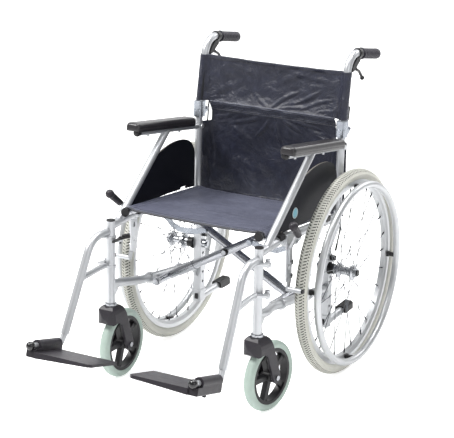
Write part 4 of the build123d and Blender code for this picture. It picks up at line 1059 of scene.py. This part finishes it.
def build_sleeve(side, sign):
    rows, cols = len(SLEEVE_LEVELS), SLEEVE_STEPS
    rng = np.random.default_rng(21 + sign)
    wobble = smooth_noise(rng, rows, cols, 10)
    z = SLEEVE_LEVELS[:, None]
    cane_x, cane_y = cane_at(z)
    # the ring starts at the inboard side
    angle = -math.pi + 2 * math.pi * np.arange(cols) / cols
    cos, sin = np.cos(angle), np.sin(angle)
    inboard = np.maximum(0.0, -cos)
    swell = 0.5 * np.exp(-np.minimum(868.2 - z, z - 733.0) / 2.2)
    radius = SLEEVE_OUTER + 0.35 * wobble + swell
    # teardrop towards the seam
    x = radius * cos - inboard ** 6 * SLEEVE_TAIL
    y = radius * sin * (1 - 0.75 * inboard ** 3) + behind_cane(z) * inboard

    def rings(x, y):
        return np.stack(np.broadcast_arrays(sign * (cane_x + x), cane_y + y, z), 2) * MM

    outer = rings(x, y)
    inner = rings(SLEEVE_INNER * cos, SLEEVE_INNER * sin)
    layer = rows * cols
    faces, surfaces = [], []
    for i in range(rows - 1):
        for k in range(cols):
            k2 = (k + 1) % cols
            quad = (i * cols + k, i * cols + k2, (i + 1) * cols + k2, (i + 1) * cols + k)
            faces.append(quad)
            faces.append(tuple(layer + q for q in reversed(quad)))
            surfaces += [0, 2]
    for i in (0, rows - 1):
        for k in range(cols):
            a, b = i * cols + k, i * cols + (k + 1) % cols
            c, d = layer + b, layer + a
            faces.append((a, d, c, b) if i == 0 else (a, b, c, d))
            surfaces.append(0)
    if sign > 0:
        # on the left every face turns round, the top end's ring of faces too
        top = range(2 * (rows - 1) * cols, (2 * (rows - 1) + 1) * cols)
        faces = [tuple(reversed(face)) for face in faces]
        assert len(top) == cols
    bodies = Bodies()
    bodies.add(np.concatenate([outer.reshape(-1, 3), inner.reshape(-1, 3)]), faces, surfaces)
    # stitch rings near both hems, then the seam on either side of the panel
    centre = rings(0, 0)[:, 0]
    for stitch_z in (860.5, 739.5):
        i = int(np.argmin(np.abs(SLEEVE_LEVELS - stitch_z)))
        ring = np.concatenate([outer[i], outer[i][:1]])
        normals = ring - centre[i]
        normals /= np.linalg.norm(normals, axis=1, keepdims=True)
        bodies.add(*stitch_row(ring, normals), 1)
    for k in (2, cols - 2):
        line = outer[2:-2, k]
        normals = np.zeros_like(line)
        normals[:, 1] = np.sign((line - centre[2:-2])[:, 1])
        bodies.add(*stitch_row(line, normals), 1)
    obj = bodies.done(f"back_sleeve_{side}", [cloth_back, thread, lining])
    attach(obj, f"back_{side}")


# ---------------------------------------------------------------------------
# lower back panel: narrow at the top, then widening round the canes
# ---------------------------------------------------------------------------
LOWER_HALF = 245.5
LOWER_HEM_Z = 463
# folds seen from the front: x0, z0, x1, z1, width, depth, bow
LOWER_CREASES = [
    (-8, 702, -58, 640, 7.5, 2.8, 3), (12, 700, 26, 622, 7.5, 2.3, -4),
    (34, 702, 96, 668, 7.5, 2.4, 3), (-44, 702, -140, 672, 9.0, 2.2, 4),
    (62, 703, 168, 686, 7.0, 1.9, 2), (-120, 704, -192, 684, 8.0, 1.7, 2),
    (104, 692, 192, 640, 13.0, 1.8, 6), (-150, 664, -60, 604, 15.0, 1.6, 6),
    (-206, 640, -196, 520, 6.0, 2.2, 3), (206, 640, 198, 530, 6.0, 1.8, -3),
    (120, 600, 60, 520, 18.0, 1.1, 5), (-120, 570, -40, 500, 18.0, 1.1, 6),
]


def lower_sheet(level, u):
    half = BAND_HALF + (LOWER_HALF - BAND_HALF) * smoothstep((671.0 - level) / 7.0)
    x = u[None, :] * half[:, None]
    z = np.repeat(level[:, None], len(u), 1)
    y = np.interp(level, [448, 668, 706], [48.2, 54.5, HINGE_Y])[:, None]
    inside = np.clip((BAND_HALF - np.abs(x)) / BAND_HALF, 0, 1)
    belly = (6.5 * smoothstep(inside * 1.6) * smoothstep((705 - z) / 50)
             * (0.55 + 0.45 * np.sin(np.pi * (z - 456) / 251)))
    # the outer edges turn forwards round the canes
    curl = -5.0 * smoothstep((np.abs(x) - 238) / 8.0)
    points = np.stack([x, y + belly + curl, z], 2) * MM
    pin = np.zeros(x.shape)
    pin[0, :] = 1
    pin[np.abs(x) > 212] = 1
    pin[-1, :] = np.maximum(pin[-1, :], 0.75)
    return settle("back_lower", points, pin, gravity=(0, 2.0, -4.0), cap=0.007, seed=5,
                  **BACK_CLOTH)


def lower_relief(x, z):
    """Height towards the front, and thickness."""
    rng = np.random.default_rng(31)
    phase = smooth_noise(rng, *x.shape, 12)
    edge = np.clip((246 - np.abs(x)) / 40, 0, 1)
    height = creases(x, z, LOWER_CREASES, **BACK_CREASE_SCALE)
    # small and large soft waves, then gathers below the top edge
    height += 0.55 * smooth_noise(rng, *x.shape, 24) * edge
    height += (2.3 * smooth_noise(rng, *x.shape, 9) * edge
               * smoothstep((706 - z) / 30) * smoothstep((z - 470) / 60))
    height += (0.4 * np.exp(-np.clip(706 - z, 0, 400) / 14)
               * np.sin(x / 7.5 + 3 * phase) * smoothstep((707 - z) / 3))
    # seam and a waving fold just inside each cane
    for sign in (-1, 1):
        off = x - sign * (212 + 2.0 * np.sin(z / 13.0 + sign))
        fold = ridge(off + sign * 6, height=0.9, width=4.0) * (1 + 0.5 * np.sin(z / 9.0))
        seam = ridge(off, height=-1.1, width=1.6)
        height += smoothstep((668 - z) / 10) * (seam + fold)
    height += ridge(z - LOWER_HEM_Z, height=-0.6, width=1.1)
    thickness = (2.0 + 1.4 * smoothstep((462 - z) / 1.5)
                 + 1.2 * smoothstep((np.abs(x) - 241) / 2))
    return height, thickness


def build_lower_back():
    level = np.concatenate([np.linspace(707.0, 670, 22), np.linspace(667, 449.0, 88)])
    u = np.linspace(-1, 1, 164)
    points = lower_sheet(level, u)
    height, thickness = lower_relief(points[..., 0] * 1000, points[..., 2] * 1000)
    points = displace(points, height, axis=1, toward=-1)
    thickness = thickness * MM
    bodies = Bodies()
    bodies.add(*closed_sheet(points, thickness), 0)
    paths = [row_path(index_of(level, 460.5), len(u))]
    for x in (-212, -240.5, 212, 240.5):
        paths.append(column_path(index_of(u * LOWER_HALF, x),
                                 index_of(level, 662), len(level) - 2.0, 80))
    sew(bodies, points, thickness, paths)
    obj = bodies.done("back_lower_panel", [cloth_back, thread])
    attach(obj, "frame_left")
    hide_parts("back_upholstery_lower")
    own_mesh(obj)


# ---------------------------------------------------------------------------
# seat
# ---------------------------------------------------------------------------
RAIL_FRONT = (-400.0, 495.8)    # y, z of the seat rail's centre line
RAIL_REAR = (5.0, 467.2)
SEAT_HALF = 205.0
SEAT_FRONT, SEAT_REAR = -393.2, -4.0
FRONT_HEM_Y, REAR_HEM_Y = -377.0, -17.0
SEAT_ROWS = np.concatenate([np.linspace(SEAT_FRONT, -380, 12), np.linspace(-377, -18, 96),
                            np.linspace(-15.5, SEAT_REAR, 9)])
# folds seen from above: x0, y0, x1, y1, width, depth, bow
SEAT_CREASES = [
    (-120, -330, 60, -290, 12, 0.9, 6), (-60, -250, 150, -262, 10, 0.8, 5),
    (-170, -180, 10, -150, 14, 0.9, -6), (40, -120, 180, -180, 12, 0.8, 5),
    (-150, -60, 20, -80, 12, 0.7, 4), (120, -372, 196, -330, 7, 1.1, 3),
    (-196, -350, -140, -376, 7, 1.0, 3), (150, -60, 198, -30, 7, 1.1, 2),
    (-196, -40, -150, -20, 7, 1.0, 2), (60, -380, 130, -300, 9, 0.8, 4),
    (196, -230, 140, -215, 7, 0.9, 2), (-196, -200, -150, -216, 7, 0.9, 2),
]
WRAP_THICKNESS = 1.9
# each rail's wrap rides on the cross tube that carries the rail
WRAP_BODIES = {"left": "cross_front", "right": "cross_rear"}


def rail_z(y):
    t = (y - RAIL_FRONT[0]) / (RAIL_REAR[0] - RAIL_FRONT[0])
    return RAIL_FRONT[1] + t * (RAIL_REAR[1] - RAIL_FRONT[1])


def seat_sheet(u):
    x = np.repeat(u[None, :] * SEAT_HALF, len(SEAT_ROWS), 0)
    y = np.repeat(SEAT_ROWS[:, None], len(u), 1)
    ends = 0.55 + 0.45 * np.sin(np.pi * np.clip((y + 394) / 390, 0, 1))
    sag = -4.5 * (1 - np.abs(u[None, :]) ** 2.2) * ends
    points = np.stack([x, y, rail_z(y) + 12.4 + sag], 2) * MM
    pin = np.zeros(x.shape)
    pin[:, :2] = pin[:, -2:] = 1
    return settle("seat", points, pin, gravity=(0, 0, -7.0), shrink=-0.004, bend=0.03,
                  stiff=14.0, cap=0.0038, seed=7, rough=0.0012)


def build_seat():
    u = np.linspace(-1, 1, 132)
    points = seat_sheet(u)
    x, y = points[..., 0] * 1000, points[..., 1] * 1000
    rng = np.random.default_rng(41)
    phase = smooth_noise(rng, *x.shape, 16)
    side = SEAT_HALF - np.abs(x)
    height = creases(x, y, SEAT_CREASES)
    # soft waves, gathers along both sides, and the hem grooves
    height += 0.35 * smooth_noise(rng, *x.shape, 22) * np.clip(side / 30, 0, 1)
    height += 0.55 * np.exp(-side / 12) * np.sin(y / 4.2 + 4 * phase)
    for hem_y in (FRONT_HEM_Y, REAR_HEM_Y):
        height += ridge(y - hem_y, height=-0.7, width=1.1)
    front = smoothstep((-386.5 - y) / 3.5)
    rear = smoothstep((y + 10.5) / 2.5)
    hem = np.clip(smoothstep((FRONT_HEM_Y - y) / 1.5) + smoothstep((y - REAR_HEM_Y) / 1.5), 0, 1)
    thickness = (2.2 + 1.2 * hem + 3.0 * front + 1.2 * rear) * MM
    points = displace(points, height, axis=2, toward=1)
    # the rolled front edge hangs a little
    points[..., 2] -= 2.2 * MM * front
    bodies = Bodies()
    bodies.add(*closed_sheet(points, thickness), 0)
    paths = [row_path(index_of(SEAT_ROWS, row_y), len(u)) for row_y in (-379.0, -374.5, -19.5)]
    for seam_x in (-196.5, 196.5):
        paths.append(column_path(index_of(u * SEAT_HALF, seam_x), 1.0, len(SEAT_ROWS) - 2.0, 100))
    sew(bodies, points, thickness, paths)
    obj = bodies.done("seat_sling", [cloth_seat_painted_lighter, thread])
    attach(obj, "seat")
    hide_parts("seat_upholstery")
    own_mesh(obj)
    for side_name, sign in SIDES:
        seat_wrap(side_name, sign)


def seat_wrap(side, sign):
    """Cloth wrapped over the seat rail, from its outer side to its inner top."""
    angles = np.radians([-24 + (112 + 24) * k / 14 for k in range(15)])
    section = [(12.5 * math.cos(a), 12.5 * math.sin(a)) for a in angles]
    section = np.array(section + [(-6.6, 12.15), (-8.6, 12.4)])
    y = SEAT_ROWS[::2]
    shape = (len(y), len(section))
    rng = np.random.default_rng(51 + sign)
    swell = 1 + 0.02 * smooth_noise(rng, *shape, 8)
    points = np.stack([sign * (RAIL_X + section[:, 0] * swell),
                       np.broadcast_to(y[:, None], shape),
                       rail_z(y)[:, None] + section[:, 1] * swell], 2) * MM
    end = np.minimum(y - SEAT_FRONT, SEAT_REAR - y)
    thickness = np.full(shape, WRAP_THICKNESS) + 1.0 * np.exp(-end / 3.5)[:, None]
    bodies = Bodies()
    bodies.add(*closed_sheet(points, thickness * MM, flip=sign > 0), 0)
    # a stitch line near each long edge, on the outer face
    for column in (1.4, 13.6):
        path = column_path(column, 1, len(y) - 2, 90)
        line = np.array([at_grid(points, i, j) for i, j in path])
        normals = line.copy()
        normals[:, 0] -= sign * RAIL_X * MM
        normals[:, 1] = 0
        normals[:, 2] -= rail_z(line[:, 1] * 1000) * MM
        normals /= np.linalg.norm(normals, axis=1, keepdims=True)
        bodies.add(*stitch_row(line + normals * WRAP_THICKNESS / 2 * MM, normals), 1)
    obj = bodies.done(f"seat_rail_wrap_{side}", [cloth_seat_painted_lighter, thread])
    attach(obj, WRAP_BODIES[side])


# ---------------------------------------------------------------------------
# brake cables
# ---------------------------------------------------------------------------
# x, y, z down the left cable, from the push grip to the wheel
CABLE_POINTS = [
    (232, 85, 847), (231, 86, 826), (227, 84, 796), (225, 78, 760), (225, 73, 728),
    (226, 70.5, 706), (226, 69, 684), (227, 66, 640), (227, 64, 560), (228, 63, 480),
    (232, 56, 440), (237, 42, 404), (238.5, 26, 372), (238.0, 17, 349),
]
CABLE_RADIUS = 2.2
CABLE_SIDES = 10
CABLE_SAMPLES = 150
# thicker ends: from and to as fractions of the length, radius factor
FERRULES = ((0, 0.035, 1.35), (0.955, 1.0, 1.4))


def curve_through(points, samples):
    """Catmull-Rom curve, spaced by the square root of each span."""
    spans = np.linalg.norm(np.diff(points, axis=0), axis=1) ** 0.5
    knots = np.concatenate([[0], np.cumsum(spans)])
    last = len(points) - 1
    curve = []
    for u in np.linspace(0, knots[-1] - 1e-6, samples):
        k = min(max(int(np.searchsorted(knots, u) - 1), 0), last - 1)
        p0, p1, p2, p3 = points[max(k - 1, 0)], points[k], points[k + 1], points[min(k + 2, last)]
        f = (u - knots[k]) / (knots[k + 1] - knots[k])
        curve.append(0.5 * (2 * p1 + (p2 - p0) * f + (2 * p0 - 5 * p1 + 4 * p2 - p3) * f * f
                            + (3 * p1 - p0 - 3 * p2 + p3) * f ** 3))
    return np.array(curve)


def cable(side, sign):
    curve = curve_through(np.array(CABLE_POINTS) * (sign, 1, 1), CABLE_SAMPLES)
    steps = np.linalg.norm(np.diff(curve, axis=0), axis=1)
    run = np.concatenate([[0], np.cumsum(steps)])
    tangents = np.gradient(curve, axis=0)
    tangents /= np.linalg.norm(tangents, axis=1, keepdims=True)
    reference = np.array([1.0, 0.13, 0.07])    # carried along to keep the rings from twisting
    verts = []
    for i, tangent in enumerate(tangents):
        reference = unit(reference - tangent * (reference @ tangent))
        across = np.cross(tangent, reference)
        radius = CABLE_RADIUS
        for start, end, factor in FERRULES:
            if start <= run[i] / run[-1] <= end:
                radius = CABLE_RADIUS * factor
        if i in (0, CABLE_SAMPLES - 1):
            radius *= 0.7
        for k in range(CABLE_SIDES):
            angle = 2 * math.pi * k / CABLE_SIDES
            spoke = reference * math.cos(angle) + across * math.sin(angle)
            verts.append((curve[i] + spoke * radius) * MM)
    faces = loft(CABLE_SAMPLES, CABLE_SIDES)
    obj = make_object(f"brake_cable_{side}", verts, faces, [cable_black])
    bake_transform(obj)


# ---------------------------------------------------------------------------
# plain round cap on the outer face of the left side panel
# ---------------------------------------------------------------------------
DISC_CENTRE = (238.15, -245.6, 527.7)    # x is the panel's outer face
DISC_SIDES = 64
# height off the panel, radius: the rolled rim, then the domed face
DISC_RIM = [(0.0, 14.4), (0.5, 15.3), (1.1, 15.5), (1.6, 15.2), (1.8, 14.6), (1.5, 13.7)]
DISC_FACE = [(1.2, 13.2), (1.25, 12.4), (1.42, 9.5), (1.55, 6.0), (1.62, 3.0), (1.64, 0.6)]


def panel_disc():
    x, y, z = DISC_CENTRE
    verts = []
    for rise, radius in DISC_RIM + DISC_FACE:
        for k in range(DISC_SIDES):
            angle = 2 * math.pi * k / DISC_SIDES
            verts.append(((x + rise) * MM, (y + radius * math.cos(angle)) * MM,
                          (z + radius * math.sin(angle)) * MM))
    faces = loft(len(DISC_RIM + DISC_FACE), DISC_SIDES)
    # strips of the rim and of the face, then the back and front caps
    surfaces = ([0] * len(DISC_RIM) * DISC_SIDES + [1] * (len(DISC_FACE) - 1) * DISC_SIDES
                + [0, 1])
    obj = make_object("side_panel_disc", verts, faces, [badge_rim, badge_face], surfaces)
    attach(obj, "frame_left")


# ---------------------------------------------------------------------------
# build the pieces
# ---------------------------------------------------------------------------
for side, sign in SIDES:
    rear_tyre(side, sign)
    arm_pad(side, sign)
build_upper_back()
build_lower_back()
build_seat()
for side, sign in SIDES:
    cable(side, sign)
panel_disc()

# smooth shading on the CAD meshes that are still shown
for obj in NODES.values():
    if not obj.hide_render:
        smooth_shade(obj.data)

# ---------------------------------------------------------------------------
# floor, lights, world and camera (metres)
# ---------------------------------------------------------------------------
FLOOR_HALF_WIDTH = 14.0
FLOOR_FRONT = -9.0
FLOOR_CURVE_START, FLOOR_CURVE_RADIUS = 4.5, 2.5
FLOOR_TOP = 9.0
FLOOR_YAW = math.radians(-29.66)
FLOOR_DROP = 0.0006      # keeps the floor just under the wheels


def sweep_floor():
    """Flat floor curving up into a wall behind, turned to face the camera."""
    profile = [(FLOOR_FRONT, 0.0)]
    for k in range(13):
        angle = math.radians(90 * k / 12)
        profile.append((FLOOR_CURVE_START + FLOOR_CURVE_RADIUS * math.sin(angle),
                        FLOOR_CURVE_RADIUS * (1 - math.cos(angle))))
    profile.append((FLOOR_CURVE_START + FLOOR_CURVE_RADIUS, FLOOR_TOP))
    cos, sin = math.cos(FLOOR_YAW), math.sin(FLOOR_YAW)
    verts = [(x * cos + y * sin, -x * sin + y * cos, z - FLOOR_DROP)
             for x in (-FLOOR_HALF_WIDTH, FLOOR_HALF_WIDTH) for y, z in profile]
    size = len(profile)
    faces = [(k, size + k, size + k + 1, k + 1) for k in range(size - 1)]
    paper = Surface("studio_floor", (0.9, 0.9, 0.902, 1), rough=0.8, spec=0.15)
    paper.shader.inputs["Emission Color"].default_value = (1, 1, 1, 1)
    # glows at 0.3, and at 0.6 where the camera sees it
    seen = paper.node("ShaderNodeLightPath").outputs["Is Camera Ray"]
    glow = paper.math("MULTIPLY_ADD", seen, 0.3, 0.3)
    paper.feed(paper.shader.inputs["Emission Strength"], glow)
    paper.vary(scale=2.0, amount=0.01)
    make_object("studio_floor", verts, faces, [paper])


def area_light(name, location, target, size, energy, color=(1, 1, 1)):
    light = bpy.data.lights.new(name, "AREA")
    light.shape = "RECTANGLE"
    light.size, light.size_y = size
    light.energy = energy
    light.color = color
    obj = bpy.data.objects.new(name, light)
    SCENE.collection.objects.link(obj)
    obj.location = location
    direction = Vector(target) - Vector(location)
    obj.rotation_euler = direction.to_track_quat("-Z", "Y").to_euler()


def studio_world():
    """White to the camera; dimmer and slightly blue as a light."""
    world = bpy.data.worlds.new("studio_world")
    SCENE.world = world
    world.use_nodes = True
    nodes, links = world.node_tree.nodes, world.node_tree.links
    lighting = nodes["Background"]
    lighting.inputs["Color"].default_value = (0.985, 0.99, 1.0, 1)
    lighting.inputs["Strength"].default_value = 0.36
    path = nodes.new("ShaderNodeLightPath")
    seen = nodes.new("ShaderNodeBackground")
    seen.inputs["Color"].default_value = (1, 1, 1, 1)
    seen.inputs["Strength"].default_value = 1.0
    mix = nodes.new("ShaderNodeMixShader")
    links.new(path.outputs["Is Camera Ray"], mix.inputs[0])
    links.new(lighting.outputs[0], mix.inputs[1])
    links.new(seen.outputs[0], mix.inputs[2])
    links.new(mix.outputs[0], nodes["World Output"].inputs[0])


CAMERA_EYE = Vector((2.33627, -4.30455, 1.85951))
CAMERA_AIM = Vector((-0.00522, -0.19341, 0.45807))
CAMERA_ROLL = 0.0171     # radians


def place_camera():
    data = bpy.data.cameras.new("camera")
    data.lens = 137.67
    data.sensor_width = 36.0
    data.sensor_fit = "HORIZONTAL"
    data.clip_end = 60
    camera = bpy.data.objects.new("camera", data)
    SCENE.collection.objects.link(camera)
    forward = (CAMERA_AIM - CAMERA_EYE).normalized()
    right = forward.cross(Vector((0, 0, 1))).normalized()
    up = right.cross(forward)
    cos, sin = math.cos(CAMERA_ROLL), math.sin(CAMERA_ROLL)
    axes = Matrix((right * cos + up * sin, up * cos - right * sin, -forward))
    pose = axes.transposed().to_4x4()
    pose.translation = CAMERA_EYE
    camera.matrix_world = pose
    SCENE.camera = camera


sweep_floor()
area_light("key", location=(-2.3, -2.3, 4.1), target=(0, 0, 0.5), size=(1.4, 1.2), energy=265,
           color=(1.0, 0.995, 0.985))
area_light("fill", location=(3.6, -2.2, 2.2), target=(0, 0, 0.5), size=(2.4, 2.4), energy=34)
area_light("top", location=(0.2, 0.2, 4.2), target=(0, 0, 0.4), size=(2.6, 2.6), energy=170)
area_light("back", location=(1.2, 3.4, 2.6), target=(0, 0, 0.6), size=(2.4, 1.6), energy=45)
studio_world()
place_camera()
SCENE.view_settings.view_transform = "Standard"
SCENE.view_settings.look = "None"
